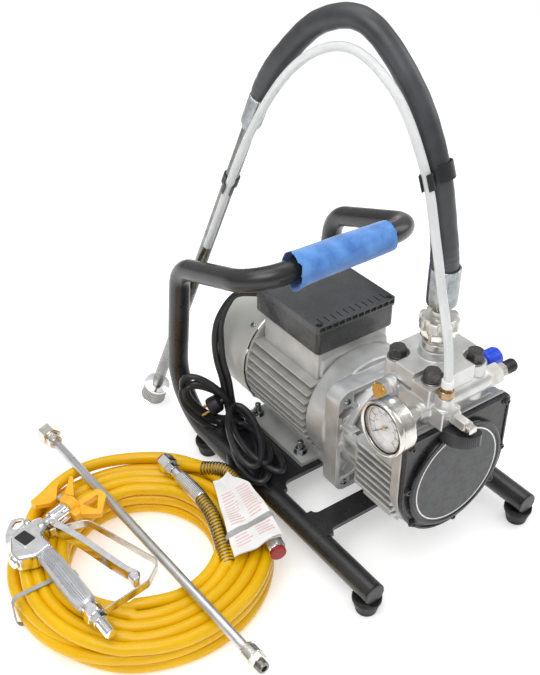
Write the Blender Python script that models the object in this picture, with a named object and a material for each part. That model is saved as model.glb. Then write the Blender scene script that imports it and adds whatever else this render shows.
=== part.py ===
"""Airless diaphragm paint sprayer on a tubular skid frame, with its paint hose, gun and lance.

Units are metres and +Z is up. Sizes are written in machine coordinates: x = 0 midway between
the skids, y = 0 at their front ends, z = 0 at the floor. -Y is the pump's front cover and +X the
paint outlet. Every object hangs from one empty that moves the middle of the whole footprint
to the world origin.
"""

import math

import bmesh
import bpy
from mathutils import Matrix, Vector

# ---------------------------------------------------------------- driving dimensions
FOOTPRINT_MIDDLE = (-0.1643, 0.2478)  # middle of the bounding box, in machine coordinates
GAP = 0.0003  # clearance between neighbouring pieces

TUBE_R = 0.014  # frame tube, 28 mm outside
TUBE_WALL = 0.002
SKID_X = 0.126
SKID_Z = 0.036
SKID_FRONT_Y = 0.002
SKID_REAR_Y = 0.438  # where the skid line meets the upright line
UPRIGHT_TOP = (0.404, 0.274)  # y, z of the upright's upper corner
HANDLE_Y = 0.237
HANDLE_Z = 0.332
SKID_BEND_R = 0.080
UPRIGHT_BEND_R = 0.045
HANDLE_BEND_R = 0.048
PLATE_Z = (0.044, 0.050)
FRONT_PLATE_Y = (0.101, 0.132)
REAR_PLATE_Y = (0.200, 0.333)
FEET_Y = (0.0135, 0.355)
SLEEVE_X = (-0.060, 0.076)
SLEEVE_R = 0.020

SHAFT_Z = 0.140
HOUSING_Y = (0.200, 0.322)
HOUSING_CORE_R = 0.066
HOUSING_FIN_R = 0.082
HOUSING_BORE_R = 0.058
MOTOR_FIN_PITCH = 0.011
FIN_T = 0.0026
BOX_Y = (0.2005, 0.332)
BOX_X = 0.060
BOX_Z = (0.2130, 0.2560)
LID_TOP = 0.266
COWL_Y = (0.3235, 0.405)
COWL_R = 0.084
MOTOR_BOLT_X = 0.062
MOTOR_BOLT_Y = (0.228, 0.325)

ADAPTER_Y = (0.1203, 0.1997)
FLANGE_Y = (0.150, 0.166)
COVER_HALF = 0.080  # half width of the front cover and radius of its round bottom
COVER_AXIS_Z = 0.144
COVER_TOP = 0.222
COVER_Y = (0.0135, 0.020, 0.0312)  # boss face, plate face, back
PUMP_Y = (0.0315, 0.120)
PUMP_FIN_PITCH = 0.0095

HEAD_Z = (0.2248, 0.262, 0.276, 0.284)  # underside, ledge, bolt seats, top
HEAD_Y = (0.030, 0.106)
HEAD_HALF = 0.042
PLATE_OUT_Y = (0.026, 0.108)
PLATE_HALF = 0.048
HEAD_BOLTS = [(-0.032, 0.039), (0.032, 0.039), (-0.032, 0.094), (0.032, 0.094)]
BOLT_NOTCH_R = 0.0120
SUCTION_BOSS = (0.0190, 0.294)  # radius, top
SUCTION_XY = (0.0, 0.068)
OUTLET_YZ = (0.035, 0.247)
OUTLET_X = 0.045  # end of the outlet boss
PLUG_YZ = (0.082, 0.250)
KNOB_YZ = (0.063, 0.2415)
KNOB_X = (0.0765, 0.098)
GAUGE_YZ = (0.034, 0.2475)
GAUGE_X = (-0.107, -0.0815)
GAUGE_R = 0.0325
GAUGE_STEM_X = 0.056  # distance of the gauge boss end to the left of the middle
RETURN_XY = (-0.0315, 0.0170)
RETURN_Z = 0.269  # top of the return boss
RELIEF_XZ = (-0.026, 0.245)
MANIFOLD_X = (-0.044, -0.018)
MANIFOLD_FRONT_Y = 0.0065
MANIFOLD_TOP = 0.257

SUCTION_HOSE_R = 0.0138
PIPE_R = 0.008
RETURN_TUBE_R = 0.005
SUCTION_HEADING = Vector((-0.285, 0.959, 0)).normalized()  # plan direction of the hose arch
PIPE_TOP = (0.262, 0.478)  # along the heading, height
PIPE_LEAN = math.radians(22.3)

COIL_CENTRE = (-0.312, 0.215)
PAINT_HOSE_R = 0.0076
COIL_INNER_LOOP_R = 0.092
COIL_COLUMNS = 5
COIL_ROWS = 3
GUN_Z = 0.0605

# ---------------------------------------------------------------- clear the scene
for old in list(bpy.data.objects):
    bpy.data.objects.remove(old)

machine = bpy.data.objects.new("machine", None)
machine.location = (-FOOTPRINT_MIDDLE[0], -FOOTPRINT_MIDDLE[1], 0)
bpy.context.scene.collection.objects.link(machine)


# ---------------------------------------------------------------- materials
def make_material(name, colour, roughness, metallic=0.0):
    material = bpy.data.materials.new(name)
    material.use_nodes = True
    shader = material.node_tree.nodes["Principled BSDF"]
    shader.inputs["Base Color"].default_value = (*colour, 1)
    shader.inputs["Roughness"].default_value = roughness
    shader.inputs["Metallic"].default_value = metallic
    return material


BLACK_PAINT = make_material("black_paint", (0.03, 0.03, 0.032), 0.4)
CAST_ALLOY = make_material("cast_alloy", (0.62, 0.61, 0.59), 0.4, 0.8)
SILVER_PAINT = make_material("silver_paint", (0.60, 0.60, 0.58), 0.45, 0.4)
DARK_PLASTIC = make_material("dark_plastic", (0.06, 0.06, 0.065), 0.5)
BLACK_PLASTIC = make_material("black_plastic", (0.02, 0.02, 0.02), 0.45)
BLACK_STEEL = make_material("black_steel", (0.05, 0.045, 0.045), 0.3, 0.9)
BRIGHT_STEEL = make_material("bright_steel", (0.7, 0.69, 0.66), 0.25, 1.0)
PLATED_STEEL = make_material("plated_steel", (0.75, 0.75, 0.76), 0.15, 1.0)
DULL_STEEL = make_material("dull_steel", (0.35, 0.35, 0.36), 0.5, 0.9)
BRASS = make_material("brass", (0.75, 0.55, 0.25), 0.3, 1.0)
RUBBER = make_material("rubber", (0.02, 0.02, 0.022), 0.7)
HOSE_RUBBER = make_material("hose_rubber", (0.06, 0.06, 0.065), 0.6)
BLUE_FABRIC = make_material("blue_fabric", (0.05, 0.22, 0.62), 0.85)
BLUE_PLASTIC = make_material("blue_plastic", (0.02, 0.10, 0.75), 0.4)
CLEAR_GLASS = make_material("clear_glass", (0.85, 0.88, 0.9), 0.1)
MILKY_PLASTIC = make_material("milky_plastic", (0.85, 0.86, 0.85), 0.35)
YELLOW_PLASTIC = make_material("yellow_plastic", (0.95, 0.75, 0.03), 0.3)
ORANGE_PLASTIC = make_material("orange_plastic", (0.95, 0.5, 0.05), 0.4)


# ---------------------------------------------------------------- shapes, each a bmesh
def finish_shape(shape):
    bmesh.ops.recalc_face_normals(shape, faces=shape.faces)
    return shape


def bridge_rings(shape, rings, cap_ends=True, closed=False):
    """Joins rings of equal length with quads, and closes the two ends."""
    count = len(rings[0])
    pairs = list(zip(rings, rings[1:]))
    if closed:
        pairs.append((rings[-1], rings[0]))
    for first, second in pairs:
        for i in range(count):
            j = (i + 1) % count
            shape.faces.new((first[i], first[j], second[j], second[i]))
    if cap_ends and not closed:
        shape.faces.new(rings[0])
        shape.faces.new(rings[-1])


def frame_along(direction):
    """Matrix whose local Z points along direction."""
    return Vector(direction).to_track_quat("Z", "Y").to_matrix().to_4x4()


def block(low, high):
    shape = bmesh.new()
    bmesh.ops.create_cube(shape, size=1)
    size = [h - l for l, h in zip(low, high)]
    middle = [(h + l) / 2 for l, h in zip(low, high)]
    shape.transform(Matrix.LocRotScale(Vector(middle), None, Vector(size)))
    return finish_shape(shape)


def cylinder(start, end, radius, segments=16):
    return turned(start, Vector(end) - Vector(start), [(0, radius), (1, radius)], segments, relative=True)


def section_radius(size, kind, angle):
    """Radius at an angle of a round section, or of a polygon that is size from middle to flat."""
    if kind == 0:
        return size
    step = 2 * math.pi / kind
    return size / math.cos((angle % step) - step / 2)


def turned(start, direction, stations, segments=12, relative=False):
    """Round or polygonal sections along a straight axis.

    A station is (distance, size) or (distance, size, sides). With sides, size is half the
    distance across flats. relative distances count in lengths of direction.
    """
    direction = Vector(direction)
    scale = direction.length if relative else 1
    place = Matrix.Translation(start) @ frame_along(direction)
    shape = bmesh.new()
    rings = []
    for station in stations:
        kind = station[2] if len(station) > 2 else 0
        ring = []
        for i in range(segments):
            angle = 2 * math.pi * i / segments
            r = section_radius(station[1], kind, angle)
            local = Vector((r * math.cos(angle), r * math.sin(angle), station[0] * scale))
            ring.append(shape.verts.new(place @ local))
        rings.append(ring)
    bridge_rings(shape, rings)
    return finish_shape(shape)


def ring_solid(start, direction, profile, segments=24):
    """Revolves a closed outline of (distance, radius) points round a straight axis."""
    place = Matrix.Translation(start) @ frame_along(direction)
    shape = bmesh.new()
    rings = []
    for i in range(segments):
        angle = 2 * math.pi * i / segments
        ring = []
        for distance, radius in profile:
            local = Vector((radius * math.cos(angle), radius * math.sin(angle), distance))
            ring.append(shape.verts.new(place @ local))
        rings.append(ring)
    bridge_rings(shape, rings, closed=True)
    return finish_shape(shape)


def prism(outline, axis, low, high):
    """Extrudes a flat outline. It is (y, z) for axis x, (x, z) for axis y and (x, y) for axis z."""
    shape = bmesh.new()
    rings = []
    for level in (low, high):
        if axis == "x":
            points = [(level, a, b) for a, b in outline]
        elif axis == "y":
            points = [(a, level, b) for a, b in outline]
        else:
            points = [(a, b, level) for a, b in outline]
        rings.append([shape.verts.new(p) for p in points])
    bridge_rings(shape, rings)
    return finish_shape(shape)


def rounded_path(corners, radii, steps=6):
    """A polyline through 3-D corners, each corner but the ends rounded to its radius."""
    corners = [Vector(c) for c in corners]
    path = [corners[0]]
    for before, corner, after, radius in zip(corners, corners[1:], corners[2:], radii):
        to_before = (before - corner).normalized()
        to_after = (after - corner).normalized()
        half = to_before.angle(to_after) / 2
        tangent = radius / math.tan(half)
        centre = corner + (to_before + to_after).normalized() * (radius / math.sin(half))
        start = corner + to_before * tangent - centre
        turn = math.pi - 2 * half
        axis = start.cross(corner + to_after * tangent - centre)
        for step in range(steps + 1):
            path.append(centre + Matrix.Rotation(turn * step / steps, 3, axis) @ start)
    path.append(corners[-1])
    return path


def rounded_rectangle(half_a, half_b, radius, middle=(0, 0), steps=3):
    points = []
    for quarter, (sign_a, sign_b) in enumerate([(1, 1), (-1, 1), (-1, -1), (1, -1)]):
        for step in range(steps + 1):
            angle = math.pi / 2 * (quarter + step / steps)
            a = middle[0] + sign_a * (half_a - radius) + radius * math.cos(angle)
            b = middle[1] + sign_b * (half_b - radius) + radius * math.sin(angle)
            points.append((a, b))
    return points


def smooth_path(points, steps):
    """Catmull-Rom curve through the points."""
    points = [Vector(p) for p in points]
    ends = [points[0] * 2 - points[1], *points, points[-1] * 2 - points[-2]]
    path = []
    for a, b, c, d in zip(ends, ends[1:], ends[2:], ends[3:]):
        for step in range(steps):
            t = step / steps
            path.append(
                (b * 2 + (c - a) * t + (a * 2 - b * 5 + c * 4 - d) * t**2 + (b * 3 - a - c * 3 + d) * t**3) / 2
            )
    path.append(points[-1])
    return path


def sweep(path, radius, segments=10, closed=False):
    """A round bar along a path. radius is one size or a function of the share of the path passed."""
    path = [Vector(p) for p in path]
    count = len(path)
    shape = bmesh.new()
    rings = []
    side = None
    for i, point in enumerate(path):
        ahead = path[(i + 1) % count] if closed else path[min(i + 1, count - 1)]
        behind = path[i - 1] if closed or i else path[0]
        tangent = (ahead - behind).normalized()
        if side is None:
            side = tangent.orthogonal()
        side = (side - tangent * side.dot(tangent)).normalized()
        other = tangent.cross(side)
        size = radius(i / (count - 1)) if callable(radius) else radius
        ring = []
        for k in range(segments):
            angle = 2 * math.pi * k / segments
            ring.append(shape.verts.new(point + (side * math.cos(angle) + other * math.sin(angle)) * size))
        rings.append(ring)
    bridge_rings(shape, rings, closed=closed)
    return finish_shape(shape)


# ---------------------------------------------------------------- objects
def link_object(name, shape, pivot=(0, 0, 0), parent=machine):
    pivot = Vector(pivot)
    shape.transform(Matrix.Translation(-pivot))
    mesh = bpy.data.meshes.new(name)
    shape.to_mesh(mesh)
    shape.free()
    obj = bpy.data.objects.new(name, mesh)
    obj.location = pivot
    obj.parent = parent
    bpy.context.scene.collection.objects.link(obj)
    return obj


def make_piece(name, shapes, material, pivot=(0, 0, 0), cuts=()):
    """One solid piece: the shapes joined together, less the cuts. Its origin is at pivot."""
    shapes = shapes if isinstance(shapes, list) else [shapes]
    piece = link_object(name, shapes[0], pivot)
    piece.data.materials.append(material)
    for operation, tools in (("UNION", shapes[1:]), ("DIFFERENCE", cuts)):
        for number, tool in enumerate(tools):
            helper = link_object(f"{name}.{operation.lower()}{number}", tool, pivot)
            helper.hide_render = True
            helper.hide_viewport = False
            helper.display_type = "WIRE"
            modifier = piece.modifiers.new(helper.name, "BOOLEAN")
            modifier.operation = operation
            modifier.object = helper
            modifier.solver = "EXACT"
    piece.data.shade_smooth()
    piece.data.set_sharp_from_angle(angle=math.radians(35))
    return piece


# ---------------------------------------------------------------- frame
def frame_corners():
    left = [
        (-SKID_X, SKID_FRONT_Y, SKID_Z),
        (-SKID_X, SKID_REAR_Y, SKID_Z),
        (-SKID_X, *UPRIGHT_TOP),
        (-SKID_X, HANDLE_Y, HANDLE_Z),
    ]
    right = [(-x, y, z) for x, y, z in reversed(left)]
    return left + right


def hollow_sweep(path, outer, inner, segments):
    """A tube with a real bore, open at both ends."""
    outside = sweep(path, outer, segments)
    inside = sweep(path, inner, segments)
    shape = bmesh.new()
    rings = []
    for source in (outside, inside):
        source.verts.ensure_lookup_table()
        verts = [shape.verts.new(v.co) for v in source.verts]
        rings.append([verts[i : i + segments] for i in range(0, len(verts), segments)])
        source.free()
    for layer in rings:
        bridge_rings(shape, layer, cap_ends=False)
    for end in (0, -1):
        for i in range(segments):
            j = (i + 1) % segments
            shape.faces.new((rings[0][end][i], rings[0][end][j], rings[1][end][j], rings[1][end][i]))
    return finish_shape(shape)


def skid_cutters(low_y, high_y):
    radius = TUBE_R + GAP
    return [cylinder((x, low_y, SKID_Z), (x, high_y, SKID_Z), radius, 24) for x in (-SKID_X, SKID_X)]


def plate_outline(low_y, high_y, flare):
    """A flat bar between the skids whose corners flare out where it is welded on."""
    half = SKID_X
    inner = half - TUBE_R - flare
    points = []
    for sign_x, sign_y, edge in ((1, 1, high_y), (-1, 1, high_y), (-1, -1, low_y), (1, -1, low_y)):
        arc = []
        for step in range(5):
            angle = math.pi / 2 * step / 4
            x = inner + flare * math.sin(angle)
            y = edge + sign_y * flare * (1 - math.cos(angle))
            arc.append((sign_x * x, y))
        arc.append((sign_x * half, edge + sign_y * flare))
        points += arc[::-1] if sign_x * sign_y > 0 else arc
    return points


def build_frame():
    radii = [SKID_BEND_R, UPRIGHT_BEND_R, HANDLE_BEND_R]
    path = rounded_path(frame_corners(), radii + radii[::-1], steps=5)
    make_piece("frame_tube", hollow_sweep(path, TUBE_R, TUBE_R - TUBE_WALL, 10), BLACK_PAINT)
    for name, (low, high), flare in (
        ("front_cross_plate", FRONT_PLATE_Y, 0.007),
        ("rear_cross_plate", REAR_PLATE_Y, 0.012),
    ):
        plate = prism(plate_outline(low, high, flare), "z", *PLATE_Z)
        make_piece(name, plate, BLACK_PAINT, cuts=skid_cutters(low - 0.03, high + 0.03))
    for side, x in (("left", -SKID_X), ("right", SKID_X)):
        cap = [(0, 0.0132), (0.0008, TUBE_R), (0.0017, TUBE_R)]
        make_piece(f"tube_end_cap_{side}", turned((x, 0, SKID_Z), (0, 1, 0), cap, 16), BLACK_PLASTIC)
        for end, y in zip(("front", "rear"), FEET_Y):
            build_foot(f"foot_{end}_{side}", x, y)
    sleeve = [(SLEEVE_X[0], TUBE_R + GAP), (SLEEVE_X[0], SLEEVE_R), (SLEEVE_X[1], SLEEVE_R), (SLEEVE_X[1], TUBE_R + GAP)]
    make_piece("handle_sleeve", ring_solid((0, HANDLE_Y, HANDLE_Z), (1, 0, 0), sleeve, 20), BLUE_FABRIC)


def build_foot(name, x, y):
    stations = [(0, 0.0125), (0.002, 0.0135), (0.017, 0.0170), (0.026, 0.0178)]
    foot = turned((x, y, 0), (0, 0, 1), stations, 16)
    cutter = cylinder((x, y - 0.03, SKID_Z), (x, y + 0.03, SKID_Z), TUBE_R + GAP, 24)
    make_piece(name, foot, RUBBER, cuts=[cutter])


# ---------------------------------------------------------------- motor
def circle_x(radius, height):
    """Half width of a circle at a height from its middle."""
    return math.sqrt(max(radius**2 - height**2, 0))


def mirrored(right_side):
    """Closes an outline given from its top middle down its right side to its bottom middle."""
    return right_side + [(-x, z) for x, z in reversed(right_side) if x > 0]


def fins(levels, core_half, fin_half):
    """Steps in and out of the core at each level, from the top down."""
    points = []
    for z in levels:
        top, bottom = z + FIN_T / 2, z - FIN_T / 2
        points += [(core_half(top), top), (fin_half(z), top), (fin_half(z), bottom), (core_half(bottom), bottom)]
    return points


def motor_outline():
    levels = [SHAFT_Z + MOTOR_FIN_PITCH * k for k in range(4, -6, -1)]
    right = [(0.050, BOX_Z[0] - GAP), (0.052, 0.190), (0.041, 0.190)]
    right += fins(
        levels,
        lambda z: circle_x(HOUSING_CORE_R, z - SHAFT_Z),
        lambda z: circle_x(HOUSING_FIN_R, z - SHAFT_Z),
    )
    right += [(0.046, 0.058), (0.046, PLATE_Z[1] + GAP), (0.030, PLATE_Z[1] + GAP), (0.022, 0.0765)]
    return mirrored(right)


def build_motor():
    low, high = HOUSING_Y
    feet = [
        block((x - 0.016, 0.209, PLATE_Z[1] + GAP), (x + 0.016, 0.338, 0.0570))
        for x in (-MOTOR_BOLT_X + 0.004, MOTOR_BOLT_X - 0.004)
    ]
    bore = cylinder((0, low - 0.01, SHAFT_Z), (0, high + 0.01, SHAFT_Z), HOUSING_BORE_R, 32)
    make_piece("motor_housing", [prism(motor_outline(), "y", low, high), *feet], CAST_ALLOY, cuts=[bore])
    stator = [(0.222, 0.0420), (0.222, 0.0570), (0.300, 0.0570), (0.300, 0.0420)]
    make_piece("stator_core", ring_solid((0, 0, SHAFT_Z), (0, 1, 0), stator, 24), DULL_STEEL)
    shield = [
        (0.3223, 0.0165), (0.3223, 0.0815), (0.3263, 0.0815), (0.3263, 0.030), (0.3360, 0.024), (0.3360, 0.0165),
    ]
    make_piece("motor_end_shield", ring_solid((0, 0, SHAFT_Z), (0, 1, 0), shield, 24), CAST_ALLOY)
    bearing = [(0.3228, 0.0085), (0.3228, 0.0160), (0.3348, 0.0160), (0.3348, 0.0085)]
    make_piece("rear_bearing", ring_solid((0, 0, SHAFT_Z), (0, 1, 0), bearing, 16), BRIGHT_STEEL)
    for number, (x, y) in enumerate((x, y) for y in MOTOR_BOLT_Y for x in (-MOTOR_BOLT_X, MOTOR_BOLT_X)):
        stations = [
            (0, 0.0085), (0.0016, 0.0085), (0.0016, 0.0063, 6), (0.0080, 0.0063, 6), (0.0080, 0.0038), (0.0150, 0.0038),
        ]
        bolt = turned((x, y, 0.0573), (0, 0, 1), stations, 12)
        make_piece(f"motor_bolt_{number + 1}", bolt, BRIGHT_STEEL)
    build_cowl()
    build_terminal_box()


def build_cowl():
    """Sheet cup over the fan, open towards the motor, with a ring of slots in its back."""
    wall = 0.0015
    front, back = COWL_Y
    cup = [
        (front + 0.0035, COWL_R - wall), (front + 0.0035, COWL_R), (back - 0.008, COWL_R), (back, COWL_R - 0.010),
        (back, 0.010), (back - wall, 0.010), (back - wall, COWL_R - 0.0107), (back - 0.0088, COWL_R - wall),
    ]
    slots = []
    for number in range(12):
        turn = Matrix.Rotation(2 * math.pi * number / 12, 4, "Y")
        slot = block((-0.0035, back - 0.006, 0.026), (0.0035, back + 0.006, 0.062))
        slot.transform(Matrix.Translation((0, 0, SHAFT_Z)) @ turn)
        slots.append(slot)
    make_piece("fan_cowl", ring_solid((0, 0, SHAFT_Z), (0, 1, 0), cup, 32), SILVER_PAINT, cuts=slots)


def build_terminal_box():
    low, high = BOX_Y
    bottom, top = BOX_Z
    side = [(low, bottom), (0.304, bottom), (high, 0.238), (high, top), (low, top)]
    body = prism(side, "x", -BOX_X, BOX_X)
    chamfer = prism([(0.042, bottom - 0.01), (0.075, bottom - 0.01), (0.075, 0.246)], "y", low - 0.01, high + 0.01)
    hollow = block((-BOX_X + 0.003, low + 0.003, 0.240), (BOX_X - 0.003, high - 0.003, top + 0.01))
    make_piece("terminal_box_base", body, DARK_PLASTIC, cuts=[chamfer, hollow])
    lid = prism(rounded_rectangle(BOX_X + 0.001, (high - low) / 2 + 0.001, 0.004, (0, (low + high) / 2)), "z",
                top + GAP, LID_TOP)
    make_piece("terminal_box_lid", lid, DARK_PLASTIC)


# ---------------------------------------------------------------- rotor, fan and eccentric
def build_rotor():
    axis = (0, 0, SHAFT_Z)
    stations = [
        (0.046, 0.0070), (0.090, 0.0070), (0.090, 0.0082), (0.217, 0.0082), (0.217, 0.0410), (0.305, 0.0410),
        (0.305, 0.0082), (0.372, 0.0082),
    ]
    make_piece("rotor_shaft", turned(axis, (0, 1, 0), stations, 20), DULL_STEEL, pivot=axis)
    hub = ring_solid(axis, (0, 1, 0), [(0.345, 0.0085), (0.345, 0.018), (0.368, 0.018), (0.368, 0.0085)], 16)
    blades = []
    for number in range(6):
        blade = block((-0.001, 0.347, 0.016), (0.001, 0.366, 0.070))
        blade.transform(Matrix.Translation(axis) @ Matrix.Rotation(2 * math.pi * number / 6, 4, "Y"))
        blades.append(blade)
    make_piece("cooling_fan", [hub, *blades], BLACK_PLASTIC, pivot=axis)
    offset = 0.005
    cam = turned((0, 0.058, SHAFT_Z + offset), (0, 1, 0), [(0, 0.022), (0.020, 0.022)], 24)
    bore = cylinder((0, 0.05, SHAFT_Z), (0, 0.09, SHAFT_Z), 0.0073, 20)
    make_piece("eccentric", cam, DULL_STEEL, pivot=axis, cuts=[bore])
    piston = turned((0, SUCTION_XY[1], 0.1675), (0, 0, 1), [(0, 0.012), (0.0015, 0.0145), (0.034, 0.0145)], 20)
    make_piece("piston", piston, BRIGHT_STEEL, pivot=(0, SUCTION_XY[1], 0.1675))


# ---------------------------------------------------------------- pump
def cover_outline(inset=0.0):
    """Flat across the top, straight sides and a round bottom."""
    half = COVER_HALF - inset
    right = [(half - 0.006, COVER_TOP - inset), (half, COVER_TOP - 0.006 - inset)]
    for step in range(9):
        angle = math.pi / 2 * step / 8
        right.append((half * math.cos(angle), COVER_AXIS_Z - half * math.sin(angle)))
    right[-1] = (0, COVER_AXIS_Z - half)
    return mirrored(right)


def pump_core_outline():
    inset = 0.015

    def core(z):
        return circle_x(COVER_HALF - inset, min(z - COVER_AXIS_Z, 0))

    def fin(z):
        return circle_x(COVER_HALF - 0.0015, min(z - COVER_AXIS_Z, 0))

    levels = [0.0905 + PUMP_FIN_PITCH * k for k in range(7, -1, -1)]
    right = [(0.050, COVER_TOP - 0.001), (0.065, COVER_TOP - 0.012), (0.065, 0.166)]
    right += fins(levels, core, fin)
    right += [(0.020, COVER_AXIS_Z - 0.0615), (0, COVER_AXIS_Z - 0.065)]
    return mirrored(right)


def build_adapter():
    flange_middle = (0, 0.133)
    flange = prism(rounded_rectangle(0.072, 0.074, 0.016, flange_middle), "y", *FLANGE_Y)
    bell = cylinder((0, FLANGE_Y[1] - 0.002, SHAFT_Z), (0, ADAPTER_Y[1], SHAFT_Z), 0.0775, 32)
    nose = turned((0, ADAPTER_Y[0], SHAFT_Z), (0, 1, 0), [(0, 0.058), (0.031, 0.070)], 32)
    bore = cylinder((0, 0.10, SHAFT_Z), (0, 0.25, SHAFT_Z), 0.030, 24)
    make_piece("adapter_flange", [flange, bell, nose], CAST_ALLOY, cuts=[bore])


def build_pump():
    front, back = PUMP_Y
    body = prism(pump_core_outline(), "y", front + 0.008, 0.112)
    flange = prism(cover_outline(0.0005), "y", front, front + 0.0095)
    neck = cylinder((0, 0.110, SHAFT_Z), (0, back, SHAFT_Z), 0.056, 24)
    cavity = cylinder((0, front - 0.01, SHAFT_Z), (0, 0.100, SHAFT_Z), 0.040, 24)
    shaft_hole = cylinder((0, 0.09, SHAFT_Z), (0, back + 0.01, SHAFT_Z), 0.012, 20)
    piston_bore = cylinder((0, SUCTION_XY[1], 0.165), (0, SUCTION_XY[1], COVER_TOP + 0.01), 0.0148, 20)
    make_piece("pump_housing", [body, flange, neck], CAST_ALLOY, cuts=[cavity, shaft_hole, piston_bore])
    cover = prism(cover_outline(), "y", COVER_Y[1], COVER_Y[2])
    boss = cylinder((0, COVER_Y[0], COVER_AXIS_Z), (0, COVER_Y[1] + 0.002, COVER_AXIS_Z), 0.070, 40)
    make_piece("front_cover", [cover, boss], BLACK_PAINT)
    x, y = SUCTION_XY
    diaphragm = turned((x, y, COVER_TOP + GAP), (0, 0, 1), [(0, 0.034), (HEAD_Z[0] - COVER_TOP - 2 * GAP, 0.034)], 24)
    make_piece("diaphragm", diaphragm, RUBBER)


def build_pump_head():
    low, ledge, seat, top = HEAD_Z
    front, back = PLATE_OUT_Y
    base = block((-HEAD_HALF, HEAD_Y[0], low), (HEAD_HALF, HEAD_Y[1], ledge + 0.001))
    plate = block((-PLATE_HALF, front, ledge), (PLATE_HALF, back, top))
    suction_boss = cylinder((*SUCTION_XY, seat), (*SUCTION_XY, SUCTION_BOSS[1]), SUCTION_BOSS[0], 24)
    plug_boss = cylinder((-0.035, *PLUG_YZ), (-0.056, *PLUG_YZ), 0.0135, 20)
    outlet_boss = cylinder((-0.010, *OUTLET_YZ), (OUTLET_X, *OUTLET_YZ), 0.0130, 20)
    manifold = block((MANIFOLD_X[0], MANIFOLD_FRONT_Y, low + 0.0005), (MANIFOLD_X[1], 0.046, MANIFOLD_TOP))
    arm = block((-0.050, 0.0305, low + 0.0010), (-0.036, 0.068, MANIFOLD_TOP + 0.001))
    return_boss = cylinder((*RETURN_XY, low + 0.01), (*RETURN_XY, RETURN_Z), 0.0092, 16)
    gauge_boss = cylinder((-0.030, *GAUGE_YZ), (-GAUGE_STEM_X, *GAUGE_YZ), 0.0090, 16)
    knob_boss = cylinder((0.035, *KNOB_YZ), (KNOB_X[0] - 0.0005, *KNOB_YZ), 0.0080, 16)
    shapes = [
        base, plate, suction_boss, plug_boss, manifold, arm, outlet_boss, return_boss, gauge_boss, knob_boss,
    ]
    notches = [cylinder((x, y, seat), (x, y, top + 0.01), BOLT_NOTCH_R, 20) for x, y in HEAD_BOLTS]
    make_piece("pump_head", shapes, CAST_ALLOY, cuts=notches)
    for number, (x, y) in enumerate(HEAD_BOLTS):
        stations = [(0, 0.0105), (0.0025, 0.0105), (0.0040, 0.0083, 6), (0.0120, 0.0083, 6), (0.0135, 0.0068)]
        bolt = turned((x, y, seat + GAP), (0, 0, 1), stations, 12)
        make_piece(f"head_bolt_{number + 1}", bolt, BLACK_STEEL)


def build_head_fittings():
    y, z = PLUG_YZ
    stations = [(0, 0.0125), (0.0015, 0.0125), (0.0015, 0.0118, 6), (0.0095, 0.0118, 6), (0.0105, 0.0108)]
    make_piece("valve_plug", turned((-0.056 - GAP, y, z), (-1, 0, 0), stations, 12), BRASS)
    build_outlet()
    x, z = RELIEF_XZ
    stations = [(0, 0.0070, 6), (0.021, 0.0070, 6), (0.022, 0.0055), (0.0285, 0.0050)]
    stem = turned((x, MANIFOLD_FRONT_Y - GAP, z), (0, -1, 0), stations, 12)
    make_piece("relief_valve_stem", stem, BRIGHT_STEEL)
    x, y = RETURN_XY
    stations = [(0, 0.0078), (0.001, 0.0070, 6), (0.0075, 0.0070, 6), (0.0080, 0.0072), (0.0120, 0.0072)]
    make_piece("return_fitting", turned((x, y, RETURN_Z + GAP), (0, 0, 1), stations, 12), BRASS)
    x, y = SUCTION_XY
    stations = [(0, 0.0160), (0.002, 0.0165), (0.0080, 0.0165), (0.0085, 0.0150), (0.0115, 0.0150)]
    make_piece("suction_port", turned((x, y, SUCTION_BOSS[1] + GAP), (0, 0, 1), stations, 16), BRIGHT_STEEL)


def build_outlet():
    """Hexagon body screwed on the outlet boss, with a threaded end under a push-on cap."""
    y, z = OUTLET_YZ
    thread_start, thread_end = 0.034, 0.0465
    stations = [
        (0, 0.0115), (0.002, 0.0118, 6), (0.022, 0.0118, 6), (0.023, 0.0105), (0.0235, 0.0080, 6),
        (thread_start - 0.001, 0.0080, 6), (thread_start - 0.001, 0.0063), (thread_end, 0.0063),
    ]
    make_piece("outlet_valve_body", turned((OUTLET_X + GAP, y, z), (1, 0, 0), stations, 12), BRIGHT_STEEL)
    start = OUTLET_X + thread_start
    end = OUTLET_X + thread_end + 0.004
    cap = turned((start, y, z), (1, 0, 0), [(0, 0.0082), (end - start - 0.001, 0.0082), (end - start, 0.0074)], 16)
    bore = cylinder((start - 0.005, y, z), (OUTLET_X + thread_end + 0.001, y, z), 0.0067, 16)
    make_piece("outlet_cap", cap, BLACK_PLASTIC, pivot=(start, y, z), cuts=[bore])


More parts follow.
